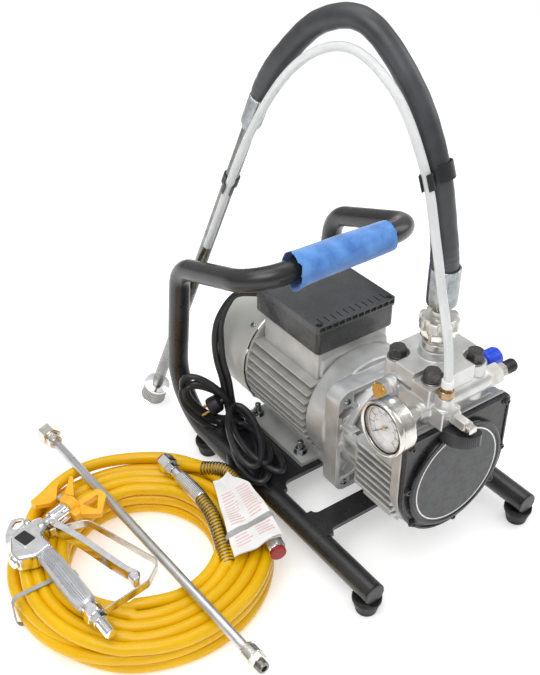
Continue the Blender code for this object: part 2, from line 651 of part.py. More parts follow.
def build_gauge():
    y, z = GAUGE_YZ
    face, back = GAUGE_X
    case = [
        (-face, GAUGE_R - 0.003), (-face, GAUGE_R), (-face - 0.003, GAUGE_R), (-face - 0.004, GAUGE_R - 0.002),
        (-back + 0.0015, GAUGE_R - 0.002), (-back, GAUGE_R - 0.004), (-back, 0.0080),
        (GAUGE_STEM_X + GAP, 0.0075), (GAUGE_STEM_X + GAP, 0.0030), (-face - 0.007, 0.0030),
        (-face - 0.007, GAUGE_R - 0.005),
        (-face - 0.002, GAUGE_R - 0.003),
    ]
    make_piece("gauge_case", ring_solid((0, y, z), (-1, 0, 0), case, 20), BRIGHT_STEEL)
    lens = turned((face + 0.0022, y, z), (1, 0, 0), [(0, GAUGE_R - 0.0044), (0.0012, GAUGE_R - 0.0048)], 20)
    make_piece("gauge_lens", lens, CLEAR_GLASS)
    hub = turned((face + 0.0066, y, z), (-1, 0, 0), [(0, 0.0026), (0.0026, 0.0026)], 10)
    pointer = prism([(-0.0011, -0.0080), (0.0011, -0.0080), (0.0004, 0.0200), (-0.0004, 0.0200)], "x",
                    face + 0.0046, face + 0.0054)
    rest_angle = math.radians(-132)
    pointer.transform(Matrix.Translation((0, y, z)) @ Matrix.Rotation(rest_angle, 4, "X"))
    make_piece("gauge_needle", [hub, pointer], BLACK_STEEL, pivot=(face, y, z))


def build_controls():
    y, z = KNOB_YZ
    shape = bmesh.new()
    rings = []
    lobes = 8
    segments = lobes * 4
    for x, scale in ((KNOB_X[0], 0.93), (KNOB_X[0] + 0.0015, 1.0), (KNOB_X[1] - 0.002, 1.0), (KNOB_X[1], 0.86)):
        ring = []
        for i in range(segments):
            angle = 2 * math.pi * i / segments
            r = 0.0120 * scale * (1 - 0.07 * (1 - abs(math.cos(lobes / 2 * angle))))
            ring.append(shape.verts.new((x, y + r * math.cos(angle), z + r * math.sin(angle))))
        rings.append(ring)
    bridge_rings(shape, rings)
    make_piece("pressure_knob", finish_shape(shape), BLUE_PLASTIC, pivot=(KNOB_X[0], y, z))
    build_relief_lever()


def build_relief_lever():
    """A thick half moon under the relief stem, pinned at the stem's outer end."""
    centre, radius = Vector((-0.0189, -0.0012)), 0.0225
    nose, nose_radius = Vector((-0.0180, -0.0165)), 0.0070
    outline = []
    for step in range(11):
        angle = math.radians(163 + 99 * step / 10)
        outline.append((centre.x + radius * math.cos(angle), centre.y + radius * math.sin(angle)))
    for step in range(6):
        angle = math.radians(255 + 125 * step / 5)
        outline.append((nose.x + nose_radius * math.cos(angle), nose.y + nose_radius * math.sin(angle)))
    outline.append((-0.0240, MANIFOLD_FRONT_Y - 0.0010))
    top = RELIEF_XZ[1] - 0.0075
    thickness = 0.0165
    make_piece("relief_lever", prism(outline, "z", top - thickness, top), BLACK_PLASTIC, pivot=(nose.x, nose.y, top))


# ---------------------------------------------------------------- suction set
def arch_point(along, height, aside=0.0):
    """A point of the suction plane: along the heading from the pump, and aside to its left."""
    left = Vector((-SUCTION_HEADING.y, SUCTION_HEADING.x, 0))
    plan = Vector((*SUCTION_XY, 0)) + SUCTION_HEADING * along + left * aside
    return Vector((plan.x, plan.y, height))


def pipe_direction():
    return SUCTION_HEADING * math.sin(PIPE_LEAN) - Vector((0, 0, math.cos(PIPE_LEAN)))


def on_pipe(distance, aside=0.0):
    return arch_point(*PIPE_TOP, aside) + pipe_direction() * distance


def hose_path(start_height, end):
    """Straight out of the top ferrule, over the arch and straight into the bottom ferrule."""
    return smooth_path(
        [
            arch_point(0.000, start_height), arch_point(0.000, start_height + 0.012), arch_point(0.0062, 0.430),
            arch_point(0.0225, 0.502), arch_point(0.0540, 0.571), arch_point(0.110, 0.6245), arch_point(0.166, 0.616),
            arch_point(0.213, 0.572), on_pipe(-0.060), end,
        ],
        3,
    )


def build_suction_set():
    pivot = (*SUCTION_XY, 0.306)
    nut_z = 0.3062
    nut = [(0, 0.0185, 8), (0.0115, 0.0185, 8), (0.0125, 0.0215, 8), (0.0255, 0.0215, 8), (0.0275, 0.0190, 8)]
    x, y = SUCTION_XY
    make_piece("union_nut", turned((x, y, nut_z), (0, 0, 1), nut, 16), BRIGHT_STEEL, pivot=pivot)
    stem = [(0, 0.0080), (0.010, 0.0080), (0.0150, 0.0162), (0.058, 0.0170), (0.0595, 0.0150)]
    make_piece("hose_ferrule_top", turned((x, y, nut_z + 0.0278), (0, 0, 1), stem, 16), PLATED_STEEL, pivot=pivot)

    hose_start = nut_z + 0.0278 + 0.0595 + 0.0010
    hose_end = on_pipe(-0.0475)
    path = hose_path(hose_start, hose_end)

    def hose_radius(share):
        return SUCTION_HOSE_R - 0.0026 * max(0.0, (share - 0.88) / 0.12)

    make_piece("suction_hose", sweep(path, hose_radius, 12), HOSE_RUBBER, pivot=pivot)
    direction = pipe_direction()
    ferrule = [(0, 0.0108), (0.001, 0.0116), (0.038, 0.0116), (0.043, 0.0092)]
    make_piece("hose_ferrule_bottom", turned(on_pipe(-0.0457), direction, ferrule, 16), PLATED_STEEL, pivot=pivot)
    pipe_end = 0.478
    make_piece("suction_pipe", turned(on_pipe(-0.0024), direction, [(0, PIPE_R), (pipe_end, PIPE_R)], 16),
               DULL_STEEL, pivot=pivot)
    cup = [
        (0, 0.0125), (0.002, 0.0185), (0.006, 0.0185), (0.007, 0.0172), (0.030, 0.0172), (0.0315, 0.0155),
    ]
    make_piece("suction_strainer", turned(on_pipe(pipe_end - 0.0021), direction, cup, 24), DULL_STEEL, pivot=pivot)
    return_path = smooth_path(return_points(), 3)
    make_piece("return_tube", sweep(return_path, RETURN_TUBE_R, 8), MILKY_PLASTIC, pivot=pivot)
    build_clips(pivot, path, return_path)


def return_points():
    start = Vector((*RETURN_XY, RETURN_Z + 0.0130 + GAP))
    return [
        start, start + Vector((0, 0, 0.012)), arch_point(-0.033, 0.335, 0.0415),
        arch_point(-0.0165, 0.3825, 0.034), arch_point(0.000, 0.433, 0.027),
        arch_point(0.023, 0.502, 0.0215), arch_point(0.064, 0.572, 0.020), arch_point(0.122, 0.6035, 0.019),
        arch_point(0.187, 0.570, 0.017), arch_point(0.250, 0.477, 0.015), arch_point(0.319, 0.315, 0.015),
    ]


def at_height(path, height, from_end=False):
    """Point and direction where a path first passes a height, from its start or from its end."""
    path = path[::-1] if from_end else path
    for a, b in zip(path, path[1:]):
        if (a.z - height) * (b.z - height) <= 0:
            return a.lerp(b, (height - a.z) / (b.z - a.z)), (b - a).normalized()
    return path[-1], (path[-1] - path[-2]).normalized()


def clip_shape(first, first_r, second, second_r, direction, length):
    """A web with two open eyes, one round each of two nearly parallel tubes."""
    half = direction * (length / 2)
    wall = 0.0020
    holes = ((first, first_r), (second, second_r))
    eyes = [
        cylinder(point - half * share, point + half * share, radius + wall, 20)
        for (point, radius), share in zip(holes, (1, 0.94))
    ]
    across = (second - first - direction * (second - first).dot(direction)).normalized()
    web = block((-0.0035, -0.0035, -0.43 * length), (0.0035, 0.0035, 0.43 * length))
    turn = Matrix((across, direction.cross(across), direction)).transposed().to_4x4()
    edge = first + across * (first_r + wall + (second - first).length - second_r - wall) / 2
    web.transform(Matrix.Translation(edge) @ turn)
    reach = direction * length
    cuts = [cylinder(point - reach, point + reach, radius, 20) for point, radius in holes]
    return [eyes[0], web, eyes[1]], cuts


def build_clips(pivot, hose, tube):
    hose_at, direction = at_height(hose, 0.495)
    tube_at, _ = at_height(tube, 0.495)
    shapes, cuts = clip_shape(hose_at, SUCTION_HOSE_R + 0.0007, tube_at, RETURN_TUBE_R + 0.0014, direction, 0.012)
    make_piece("tube_clip_upper", shapes, BLACK_PLASTIC, pivot=pivot, cuts=cuts)
    tube_at, _ = at_height(tube, 0.4055, from_end=True)
    offset = tube_at - on_pipe(0)
    pipe_at = on_pipe(offset.dot(pipe_direction()))
    shapes, cuts = clip_shape(pipe_at, PIPE_R + GAP, tube_at, RETURN_TUBE_R + 0.0008, pipe_direction(), 0.012)
    make_piece("tube_clip_lower", shapes, BLACK_PLASTIC, pivot=pivot, cuts=cuts)


# ---------------------------------------------------------------- power cable
def loop_path(centre, across, up, half_across, half_up, count=18):
    across, up = Vector(across).normalized(), Vector(up).normalized()
    path = []
    for i in range(count):
        angle = 2 * math.pi * i / count
        path.append(Vector(centre) + across * half_across * math.cos(angle) + up * half_up * math.sin(angle))
    return path


def build_power_cable():
    """The lead hangs down beside the cowl to a bundle tied in two loops."""
    lead = smooth_path(
        [
            (-0.0650, 0.318, 0.247), (-0.076, 0.330, 0.249), (-0.089, 0.350, 0.228), (-0.0945, 0.362, 0.180),
            (-0.0955, 0.358, 0.140), (-0.103, 0.340, 0.095), (-0.108, 0.322, 0.076),
        ],
        3,
    )
    upper = loop_path((-0.106, 0.3615, 0.099), (0, 1, -0.15), (-0.1, 0.15, 1), 0.036, 0.034)
    lower = loop_path((-0.110, 0.266, 0.0630), (0.25, 1, 0.0), (1, -0.25, 0.05), 0.058, 0.024)
    tie = turned((-0.1085, 0.314, 0.067), (0, 1, 0.25), [(0, 0.0115), (0.022, 0.0115)], 10)
    plug = turned((-0.104, 0.332, 0.078), (-0.30, 0.75, 0.35), [(0, 0.007), (0.006, 0.010), (0.026, 0.011)], 8)
    shapes = [sweep(lead, 0.0042, 8), sweep(upper, 0.0095, 8, closed=True), sweep(lower, 0.0090, 8, closed=True), tie, plug]
    make_piece("power_cable", shapes, RUBBER)


# ---------------------------------------------------------------- paint hose, gun and lance
def coil_section():
    """Outline of the coiled bundle as (radius, height): the outer side of each loop in its rim."""
    r = PAINT_HOSE_R
    inner = COIL_INNER_LOOP_R
    outer = inner + 2 * r * (COIL_COLUMNS - 1)
    low, high = r + 0.0002, r + 0.0002 + 2 * r * (COIL_ROWS - 1) * 0.97
    bumps = []
    for k in range(COIL_ROWS):
        bumps.append((outer, low + (high - low) * k / (COIL_ROWS - 1), 0))
    for k in range(COIL_COLUMNS - 2, 0, -1):
        bumps.append((inner + 2 * r * k, high, 90))
    for k in range(COIL_ROWS - 1, -1, -1):
        bumps.append((inner, low + (high - low) * k / (COIL_ROWS - 1), 180))
    points = []
    for radius, height, heading in bumps:
        for turn in (-45, 0, 45):
            angle = math.radians(heading + turn)
            points.append((radius + r * math.cos(angle), height + r * math.sin(angle)))
    return points


def build_paint_hose():
    place = (*COIL_CENTRE, 0)
    section = [(height, radius) for radius, height in coil_section()]
    bundle = ring_solid(place, (0, 0, 1), section, 24)
    first = smooth_path([(-0.233, 0.150, 0.040), (-0.219, 0.190, 0.0520), (-0.213, 0.232, 0.0545)], 3)
    first_guard = sweep(first, 0.0085, 8)
    first_end = turned(
        (-0.2131, 0.230, 0.0545), (-0.02, 1, 0.03),
        [(0, 0.0090), (0.050, 0.0090), (0.052, 0.0072), (0.060, 0.0072), (0.061, 0.0100, 6), (0.088, 0.0100, 6)], 12,
    )
    second = smooth_path([(-0.176, 0.290, 0.040), (-0.160, 0.255, 0.0530), (-0.164, 0.200, 0.0545)], 3)
    second_guard = sweep(second, 0.0085, 8)
    second_end = turned(
        (-0.164, 0.203, 0.0545), (-0.24, -1, 0.0),
        [(0, 0.0090), (0.062, 0.0090), (0.064, 0.0072), (0.072, 0.0072), (0.073, 0.0100, 6), (0.102, 0.0100, 6)], 12,
    )
    make_piece("paint_hose", [bundle, first_guard, first_end, second_guard, second_end], YELLOW_PLASTIC, pivot=place)


GUN_BODY = (-0.418, 0.273)  # middle of the gun's head, x and y
GUN_FORWARD = Vector((0.955, 0.297, 0)).normalized()  # spray direction
GUN_DOWN = Vector((0.10, -0.995, 0)).normalized()  # from the head to the foot of the handle
TRIGGER_PIVOT = (-0.392, 0.273)


def gun_point(forward, down, rise=0.0):
    plan = Vector((*GUN_BODY, GUN_Z + rise)) + GUN_FORWARD * forward + GUN_DOWN * down
    return plan


def strap(path, half_width, half_thickness):
    """A flat strip that stands on edge along a plan path."""
    shape = bmesh.new()
    rings = []
    for i, point in enumerate(path):
        ahead = path[min(i + 1, len(path) - 1)]
        behind = path[max(i - 1, 0)]
        tangent = (ahead - behind).normalized()
        side = tangent.cross(Vector((0, 0, 1))) * half_thickness
        up = Vector((0, 0, half_width))
        corners = (point + side + up, point - side + up, point - side - up, point + side - up)
        rings.append([shape.verts.new(c) for c in corners])
    bridge_rings(shape, rings)
    return finish_shape(shape)


def build_gun():
    """The gun lies on its left side, so its plane is level."""
    head = prism(
        [tuple(gun_point(f, d)[:2]) for f, d in
         ((-0.017, -0.026), (0.012, -0.030), (0.020, -0.014), (0.020, 0.012), (0.010, 0.030), (-0.017, 0.020))],
        "z", GUN_Z - 0.0115, GUN_Z + 0.0115,
    )
    barrel = turned(gun_point(0.010, -0.016), GUN_FORWARD, [(0, 0.0085), (0.022, 0.0085), (0.022, 0.0105, 6),
                                                            (0.034, 0.0105, 6), (0.034, 0.0085), (0.046, 0.0085)], 12)
    handle = turned(gun_point(0.001, 0.020), GUN_DOWN, [
        (0, 0.0115), (0.006, 0.0130), (0.100, 0.0130), (0.104, 0.0100), (0.112, 0.0100), (0.112, 0.0085, 6),
        (0.122, 0.0085, 6), (0.122, 0.0060), (0.146, 0.0060),
    ], 12)
    eye = gun_point(-0.003, -0.036)
    hook = ring_solid(eye, (0, 0, 1), [(-0.002, 0.0065), (-0.002, 0.0110), (0.002, 0.0110), (0.002, 0.0065)], 14)
    corners = [gun_point(0.024, 0.001), gun_point(0.074, 0.004), gun_point(0.098, 0.108), gun_point(0.004, 0.124)]
    guard_path = rounded_path(corners, [0.010, 0.014], steps=4)
    guard = strap(guard_path, 0.0050, 0.0008)
    root = gun_point(0.018, 0.001)
    guard_root = strap([root, gun_point(0.028, 0.001)], 0.0050, 0.0020)
    make_piece("gun_body", [head, barrel, handle, hook, guard_root, guard], PLATED_STEEL, pivot=gun_point(0, 0))

    trigger_path = smooth_path(
        [gun_point(0.030, 0.008), gun_point(0.042, 0.040), gun_point(0.060, 0.085), gun_point(0.078, 0.106)], 3)
    trigger = strap(trigger_path, 0.0085, 0.0028)
    make_piece("gun_trigger", trigger, PLATED_STEEL, pivot=(*TRIGGER_PIVOT, GUN_Z))
    build_tip_guard()


def build_tip_guard():
    """Turning nut with a two-winged guard and the reversible tip's handle across it."""
    base = gun_point(0.0563, -0.016)
    nut = turned(base, GUN_FORWARD, [(0, 0.0120), (0.018, 0.0120), (0.019, 0.0100), (0.026, 0.0100)], 16)
    start = gun_point(0.078, -0.016)
    wings = []
    for sign in (1, -1):
        inner = start + GUN_DOWN * 0.006 * sign
        outer = gun_point(0.105, -0.016) + GUN_DOWN * 0.026 * sign
        wings.append(strap([inner, outer], 0.0085, 0.0022))
    handle_side = -GUN_DOWN
    handle = turned(gun_point(0.072, -0.016) + handle_side * 0.004, handle_side, [(0, 0.0045), (0.034, 0.0045)], 10)
    make_piece("tip_guard", [nut, *wings, handle], ORANGE_PLASTIC, pivot=base)


def build_lance():
    far = Vector((-0.3138, 0.4690, 0.0498))
    near = Vector((-0.2951, -0.0232, 0.0580))
    length = (near - far).length
    stations = [
        (0, 0.0125, 6), (0.019, 0.0125, 6), (0.020, 0.0095), (0.030, 0.0095), (0.031, 0.0062),
        (length - 0.030, 0.0062), (length - 0.029, 0.0105), (length - 0.010, 0.0118), (length - 0.009, 0.0085),
        (length, 0.0075),
    ]
    make_piece("extension_lance", turned(far, near - far, stations, 12), BRIGHT_STEEL, pivot=far)


# ---------------------------------------------------------------- build
build_frame()
build_motor()
build_rotor()
build_adapter()
build_pump()
build_pump_head()
build_head_fittings()
build_gauge()
build_controls()
build_suction_set()
build_power_cable()
build_paint_hose()
build_gun()
build_lance()
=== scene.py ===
"""Looks of the airless paint sprayer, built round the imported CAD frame.

Sizes are metres in machine coordinates: x = 0 midway between the skids, y = 0 at their front
ends, z = 0 at the floor. add() moves each finished shape into the frame's own coordinates.
"machine", "gun" and the like name the frame's bodies.
"""

import math
import random

import bmesh
import bpy
from mathutils import Matrix, Vector, noise


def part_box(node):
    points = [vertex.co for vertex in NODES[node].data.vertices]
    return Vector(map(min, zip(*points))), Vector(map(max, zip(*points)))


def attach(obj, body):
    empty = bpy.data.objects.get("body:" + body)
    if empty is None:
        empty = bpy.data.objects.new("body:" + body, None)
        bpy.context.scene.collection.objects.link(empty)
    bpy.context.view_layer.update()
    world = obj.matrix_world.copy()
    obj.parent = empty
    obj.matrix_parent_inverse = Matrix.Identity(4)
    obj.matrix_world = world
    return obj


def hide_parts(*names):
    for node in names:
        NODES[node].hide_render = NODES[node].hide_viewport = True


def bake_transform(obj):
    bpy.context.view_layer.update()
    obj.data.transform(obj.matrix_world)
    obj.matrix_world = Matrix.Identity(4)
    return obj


UP = (0, 0, 1)
TO_RIGHT = (1, 0, 0)
TO_LEFT = (-1, 0, 0)
TO_FRONT = (0, -1, 0)
TO_BACK = (0, 1, 0)

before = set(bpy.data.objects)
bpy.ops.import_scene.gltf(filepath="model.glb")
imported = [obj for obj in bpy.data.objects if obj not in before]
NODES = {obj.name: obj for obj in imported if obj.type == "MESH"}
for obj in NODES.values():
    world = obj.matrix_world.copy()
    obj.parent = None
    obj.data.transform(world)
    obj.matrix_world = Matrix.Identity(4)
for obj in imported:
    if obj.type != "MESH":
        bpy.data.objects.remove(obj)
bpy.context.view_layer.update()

SUCTION_XY = (0.0, 0.068)
port_low, port_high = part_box("suction_port")
SHIFT = (port_low + port_high) / 2 - Vector((*SUCTION_XY, 0))
SHIFT.z = 0  # from machine coordinates to the frame's own

TUBE_R = 0.014
SKID_X = 0.126  # half the distance between the two skids
SKID_Z = 0.036
HANDLE_Y = 0.237
HANDLE_Z = 0.332
FEET_Y = (0.0135, 0.355)  # front pair and rear pair
SHAFT_Z = 0.14
COWL_R = 0.084
COVER_AXIS_Z = 0.144
HEAD_SEAT_Z = 0.276  # what the heads of the four big bolts press on
HEAD_BOLTS = [(-0.032, 0.039), (0.032, 0.039), (-0.032, 0.094), (0.032, 0.094)]
GAUGE_YZ = (0.034, 0.2475)
GAUGE_FACE_X = -0.107
GAUGE_BACK_X = -0.0815
COIL_CENTRE = Vector((-0.305, 0.222, 0.0007))
HOSE_R = 0.0076
GUN_Z = 0.0605  # height of the gun's own plane
TAG_LEAF_GAP = 0.0012  # between the two leaves of the folded tag
HEX_TURN = 0.26  # roll of the fittings' hexagons, in radians
DIAL_HALF_SWEEP = math.radians(132)


# ---------------------------------------------------------------- materials
def make_material(name, colour, roughness, metallic=0.0):
    made = bpy.data.materials.new(name)
    made.use_nodes = True
    shader = made.node_tree.nodes["Principled BSDF"]
    shader.inputs["Base Color"].default_value = (*colour, 1)
    shader.inputs["Roughness"].default_value = roughness
    shader.inputs["Metallic"].default_value = metallic
    return made


def coordinates(made, stretch=(1, 1, 1)):
    nodes, links = made.node_tree.nodes, made.node_tree.links
    source = nodes.new("ShaderNodeTexCoord")
    mapping = nodes.new("ShaderNodeMapping")
    mapping.inputs["Scale"].default_value = stretch
    links.new(source.outputs["Object"], mapping.inputs["Vector"])
    return mapping.outputs["Vector"]


def noise_field(made, scale, detail=4, stretch=(1, 1, 1)):
    field = made.node_tree.nodes.new("ShaderNodeTexNoise")
    field.inputs["Scale"].default_value = scale
    field.inputs["Detail"].default_value = detail
    made.node_tree.links.new(coordinates(made, stretch), field.inputs["Vector"])
    return field.outputs["Fac"]


def cell_field(made, scale):
    field = made.node_tree.nodes.new("ShaderNodeTexVoronoi")
    field.inputs["Scale"].default_value = scale
    made.node_tree.links.new(coordinates(made), field.inputs["Vector"])
    return field.outputs["Distance"]


def wave_field(made, scale, direction, stretch):
    field = made.node_tree.nodes.new("ShaderNodeTexWave")
    field.bands_direction = direction
    field.inputs["Scale"].default_value = scale
    made.node_tree.links.new(coordinates(made, stretch), field.inputs["Vector"])
    return field.outputs["Fac"]


def ramp(made, value, low, high, start=0.35, end=0.65):
    """Blends from low to high, two colours or two numbers, as value passes from start to end."""
    nodes, links = made.node_tree.nodes, made.node_tree.links
    if isinstance(low, (int, float)):
        node = nodes.new("ShaderNodeMapRange")
        for label, number in zip(("From Min", "From Max", "To Min", "To Max"), (start, end, low, high)):
            node.inputs[label].default_value = number
        links.new(value, node.inputs["Value"])
        return node.outputs["Result"]
    node = nodes.new("ShaderNodeValToRGB")
    node.color_ramp.elements[0].position = start
    node.color_ramp.elements[0].color = (*low, 1)
    node.color_ramp.elements[1].position = end
    node.color_ramp.elements[1].color = (*high, 1)
    links.new(value, node.inputs["Fac"])
    return node.outputs["Color"]


def feed(made, socket, value):
    made.node_tree.links.new(value, made.node_tree.nodes["Principled BSDF"].inputs[socket])


def setting(made, **values):
    shader = made.node_tree.nodes["Principled BSDF"]
    for name, value in values.items():
        shader.inputs[name.replace("_", " ")].default_value = value


def add_bump(made, value, strength, distance):
    """Puts a bump on top of any bump that the material already has."""
    nodes, links = made.node_tree.nodes, made.node_tree.links
    bump = nodes.new("ShaderNodeBump")
    bump.inputs["Strength"].default_value = strength
    bump.inputs["Distance"].default_value = distance
    normal = nodes["Principled BSDF"].inputs["Normal"]
    if normal.is_linked:
        links.new(normal.links[0].from_socket, bump.inputs["Normal"])
    links.new(value, bump.inputs["Height"])
    links.new(bump.outputs["Normal"], normal)


def mottled(name, low, high, roughness, metallic=0.0, scale=60, grain=900, bump=0.15, spread=0.08):
    """A surface with soft colour drift, uneven gloss and a fine grain."""
    made = make_material(name, low, roughness, metallic)
    drift = noise_field(made, scale)
    feed(made, "Base Color", ramp(made, drift, low, high))
    feed(made, "Roughness",
         ramp(made, noise_field(made, scale * 2.3), roughness - spread, roughness + spread))
    add_bump(made, noise_field(made, grain, 3), bump, 0.0004)
    return made


def powder_coat():
    made = mottled("powder_coat_black", (0.012, 0.012, 0.013), (0.02, 0.02, 0.021), 0.3, scale=25, grain=1500,
                   bump=0.1, spread=0.05)
    setting(made, Coat_Weight=0.25, Coat_Roughness=0.25)
    return made


def cast_alloy(name, low, high, roughness=0.4, metallic=0.75):
    """Bead-blasted casting: sandy grain, larger hammered unevenness, faint darker stains."""
    made = mottled(name, low, high, roughness, metallic, scale=35, grain=1300, bump=0.22, spread=0.07)
    add_bump(made, noise_field(made, 160, 2), 0.12, 0.001)
    return made


def machined(name, low, high, roughness, stretch=(1, 1, 1), metallic=1.0, scale=700):
    """Turned or milled metal with fine tool lines along the directions that are not stretched."""
    made = mottled(name, low, high, roughness, metallic, scale=90, grain=1800, bump=0.04, spread=0.06)
    add_bump(made, noise_field(made, scale, 2, stretch), 0.1, 0.0003)
    return made


def moulded(name, low, high, roughness, grain=1100, bump=0.25):
    """Plastic out of a spark-eroded mould."""
    made = mottled(name, low, high, roughness, 0.0, scale=40, grain=grain, bump=bump, spread=0.05)
    add_bump(made, cell_field(made, grain * 0.8), bump * 0.5, 0.0003)
    return made


def wrapped_rubber():
    """Hose rubber with the print of the cloth it was cured in, and a grey bloom."""
    made = mottled("hose_rubber", (0.034, 0.035, 0.039), (0.058, 0.06, 0.065), 0.36, scale=28, grain=1600,
                   bump=0.15)
    for slope in ((700, 700, 700), (700, -700, 700)):
        add_bump(made, wave_field(made, 1.0, "DIAGONAL", slope), 0.1, 0.0003)
    return made


def non_woven():
    """Thin spun fibre sheet: bonded dots, loose fibres and soft creases."""
    made = make_material("non_woven_blue", (0.06, 0.22, 0.62), 0.78)
    drift = noise_field(made, 45, 5)
    feed(made, "Base Color", ramp(made, drift, (0.035, 0.155, 0.5), (0.12, 0.34, 0.78), 0.3, 0.7))
    add_bump(made, cell_field(made, 900), 0.3, 0.0004)
    add_bump(made, noise_field(made, 1500, 6, (0.25, 1, 1)), 0.3, 0.0004)
    add_bump(made, noise_field(made, 110, 3, (0.3, 1, 1)), 0.35, 0.0015)
    setting(made, Sheen_Weight=0.5, Sheen_Roughness=0.5)
    return made


def yellow_cover():
    made = mottled("hose_cover_yellow", (0.75, 0.43, 0.001), (0.84, 0.49, 0.002), 0.24, scale=14, grain=1400,
                   bump=0.05, spread=0.05)
    setting(made, Coat_Weight=0.1, Coat_Roughness=0.08, Specular_IOR_Level=0.3)
    return made


def milky():
    made = mottled("milky_tube", (0.8, 0.82, 0.82), (0.88, 0.89, 0.89), 0.33, scale=40, grain=900, bump=0.05,
                   spread=0.05)
    setting(made, Transmission_Weight=0.3, Subsurface_Weight=0.35, IOR=1.42)
    made.node_tree.nodes["Principled BSDF"].inputs["Subsurface Radius"].default_value = (0.004, 0.004, 0.004)
    return made


def clear_glass():
    made = make_material("lens_glass", (0.97, 0.98, 1.0), 0.02)
    feed(made, "Roughness", ramp(made, noise_field(made, 200), 0.01, 0.05))
    nodes, links = made.node_tree.nodes, made.node_tree.links
    clear = nodes.new("ShaderNodeBsdfTransparent")
    gloss = nodes.new("ShaderNodeBsdfGlossy")
    gloss.inputs["Roughness"].default_value = 0.03
    slant = nodes.new("ShaderNodeLayerWeight")
    slant.inputs["Blend"].default_value = 0.35
    reflect = nodes.new("ShaderNodeMapRange")
    reflect.inputs["To Min"].default_value = 0.02
    reflect.inputs["To Max"].default_value = 0.35
    links.new(slant.outputs["Facing"], reflect.inputs["Value"])
    mix = nodes.new("ShaderNodeMixShader")
    links.new(reflect.outputs["Result"], mix.inputs["Fac"])
    links.new(clear.outputs["BSDF"], mix.inputs[1])
    links.new(gloss.outputs["BSDF"], mix.inputs[2])
    links.new(mix.outputs["Shader"], nodes["Material Output"].inputs["Surface"])
    return made


def wire_mesh():
    """Woven strainer wire: a grid of fine crossing wires, with painted shade in the gaps where the shaded
    inside would show through.
    """
    made = make_material("strainer_mesh", (0.5, 0.5, 0.5), 0.45, 0.9)
    first = wave_field(made, 1.0, "Z", (1, 1, 520))
    second = wave_field(made, 1.0, "DIAGONAL", (420, 420, 0))
    nodes, links = made.node_tree.nodes, made.node_tree.links
    least = nodes.new("ShaderNodeMath")
    least.operation = "MAXIMUM"
    links.new(first, least.inputs[0])
    links.new(second, least.inputs[1])
    # The dark low end of this ramp is painted shade: the shaded inside seen through the open weave.
    feed(made, "Base Color", ramp(made, least.outputs[0], (0.03, 0.03, 0.03), (0.62, 0.61, 0.58), 0.45, 0.75))
    add_bump(made, least.outputs[0], 0.8, 0.0006)
    return made


POWDER = powder_coat()
CAST = cast_alloy("cast_alloy", (0.46, 0.46, 0.45), (0.6, 0.6, 0.59), 0.44, 0.6)
CAST_PALE = cast_alloy("motor_alloy", (0.5, 0.5, 0.48), (0.62, 0.62, 0.6), 0.46, 0.4)
HEAD_ALLOY = cast_alloy("head_alloy", (0.56, 0.56, 0.55), (0.7, 0.7, 0.69), 0.38, 0.7)
COWL_PAINT = mottled("cowl_paint", (0.56, 0.56, 0.53), (0.64, 0.64, 0.61), 0.36, 0.25, scale=12, grain=700,
                     bump=0.05)
COVER_BLACK = mottled("cover_black", (0.006, 0.006, 0.007), (0.011, 0.011, 0.012), 0.2, scale=40, grain=1500,
                      bump=0.05)
COVER_PLATE = mottled("cover_plate", (0.012, 0.012, 0.014), (0.02, 0.02, 0.023), 0.3, scale=40, grain=1500,
                      bump=0.08)
COVER_DISC = mottled("cover_disc", (0.038, 0.039, 0.042), (0.048, 0.049, 0.052), 0.4, scale=70, grain=2200,
                     bump=0.04)
PRINT_SILVER = mottled("print_silver", (0.62, 0.61, 0.58), (0.72, 0.71, 0.68), 0.3, 0.8, scale=200, bump=0.02)
DARK_PLASTIC = moulded("box_plastic", (0.03, 0.031, 0.032), (0.044, 0.045, 0.047), 0.27, bump=0.06)
# The lid is a lighter copy of the box plastic: painted sheen for the light its top catches from above.
LID_PLASTIC_PAINTED_SHEEN = moulded("lid_plastic_painted_sheen", (0.054, 0.055, 0.056), (0.07, 0.071, 0.073), 0.27, bump=0.06)
BLACK_PLASTIC = moulded("black_plastic", (0.01, 0.01, 0.011), (0.018, 0.018, 0.02), 0.34, bump=0.1)
BLACK_OXIDE = mottled("black_oxide", (0.05, 0.048, 0.046), (0.08, 0.077, 0.073), 0.34, 0.45, scale=120,
                      grain=2600, bump=0.01)
DARK_PLATED = machined("dark_plated", (0.2, 0.19, 0.18), (0.3, 0.29, 0.27), 0.3)
STEEL = machined("machined_steel", (0.62, 0.6, 0.56), (0.8, 0.78, 0.74), 0.22)
NICKEL = machined("nickel_plate", (0.66, 0.63, 0.57), (0.84, 0.81, 0.75), 0.17)
ZINC = machined("zinc_plate", (0.24, 0.26, 0.27), (0.38, 0.4, 0.41), 0.24)
CHROME = mottled("chrome", (0.78, 0.78, 0.79), (0.9, 0.9, 0.91), 0.09, 1.0, scale=120, grain=500, bump=0.02,
                 spread=0.04)
DULL_STEEL = machined("dull_steel", (0.26, 0.26, 0.25), (0.36, 0.36, 0.34), 0.4, (1, 1, 0.05), 0.85)
SATIN_ROD = mottled("satin_rod", (0.56, 0.56, 0.56), (0.64, 0.64, 0.64), 0.3, 0.85, scale=30, grain=2500,
                    bump=0.01)
RIBBED_ALLOY = mottled("handle_alloy", (0.6, 0.6, 0.62), (0.66, 0.66, 0.68), 0.3, 0.8, scale=30, bump=0.0)
BRASS = machined("brass", (0.62, 0.4, 0.13), (0.8, 0.56, 0.22), 0.24)
BRONZE = machined("bronze_fitting", (0.3, 0.2, 0.1), (0.44, 0.31, 0.18), 0.24)
PIPE_GREY = machined("pipe_grey", (0.24, 0.24, 0.24), (0.34, 0.34, 0.33), 0.3, (1, 1, 0.05), 0.85)
NICKEL_SATIN = machined("nickel_satin", (0.58, 0.57, 0.54), (0.72, 0.71, 0.67), 0.34, metallic=0.9)
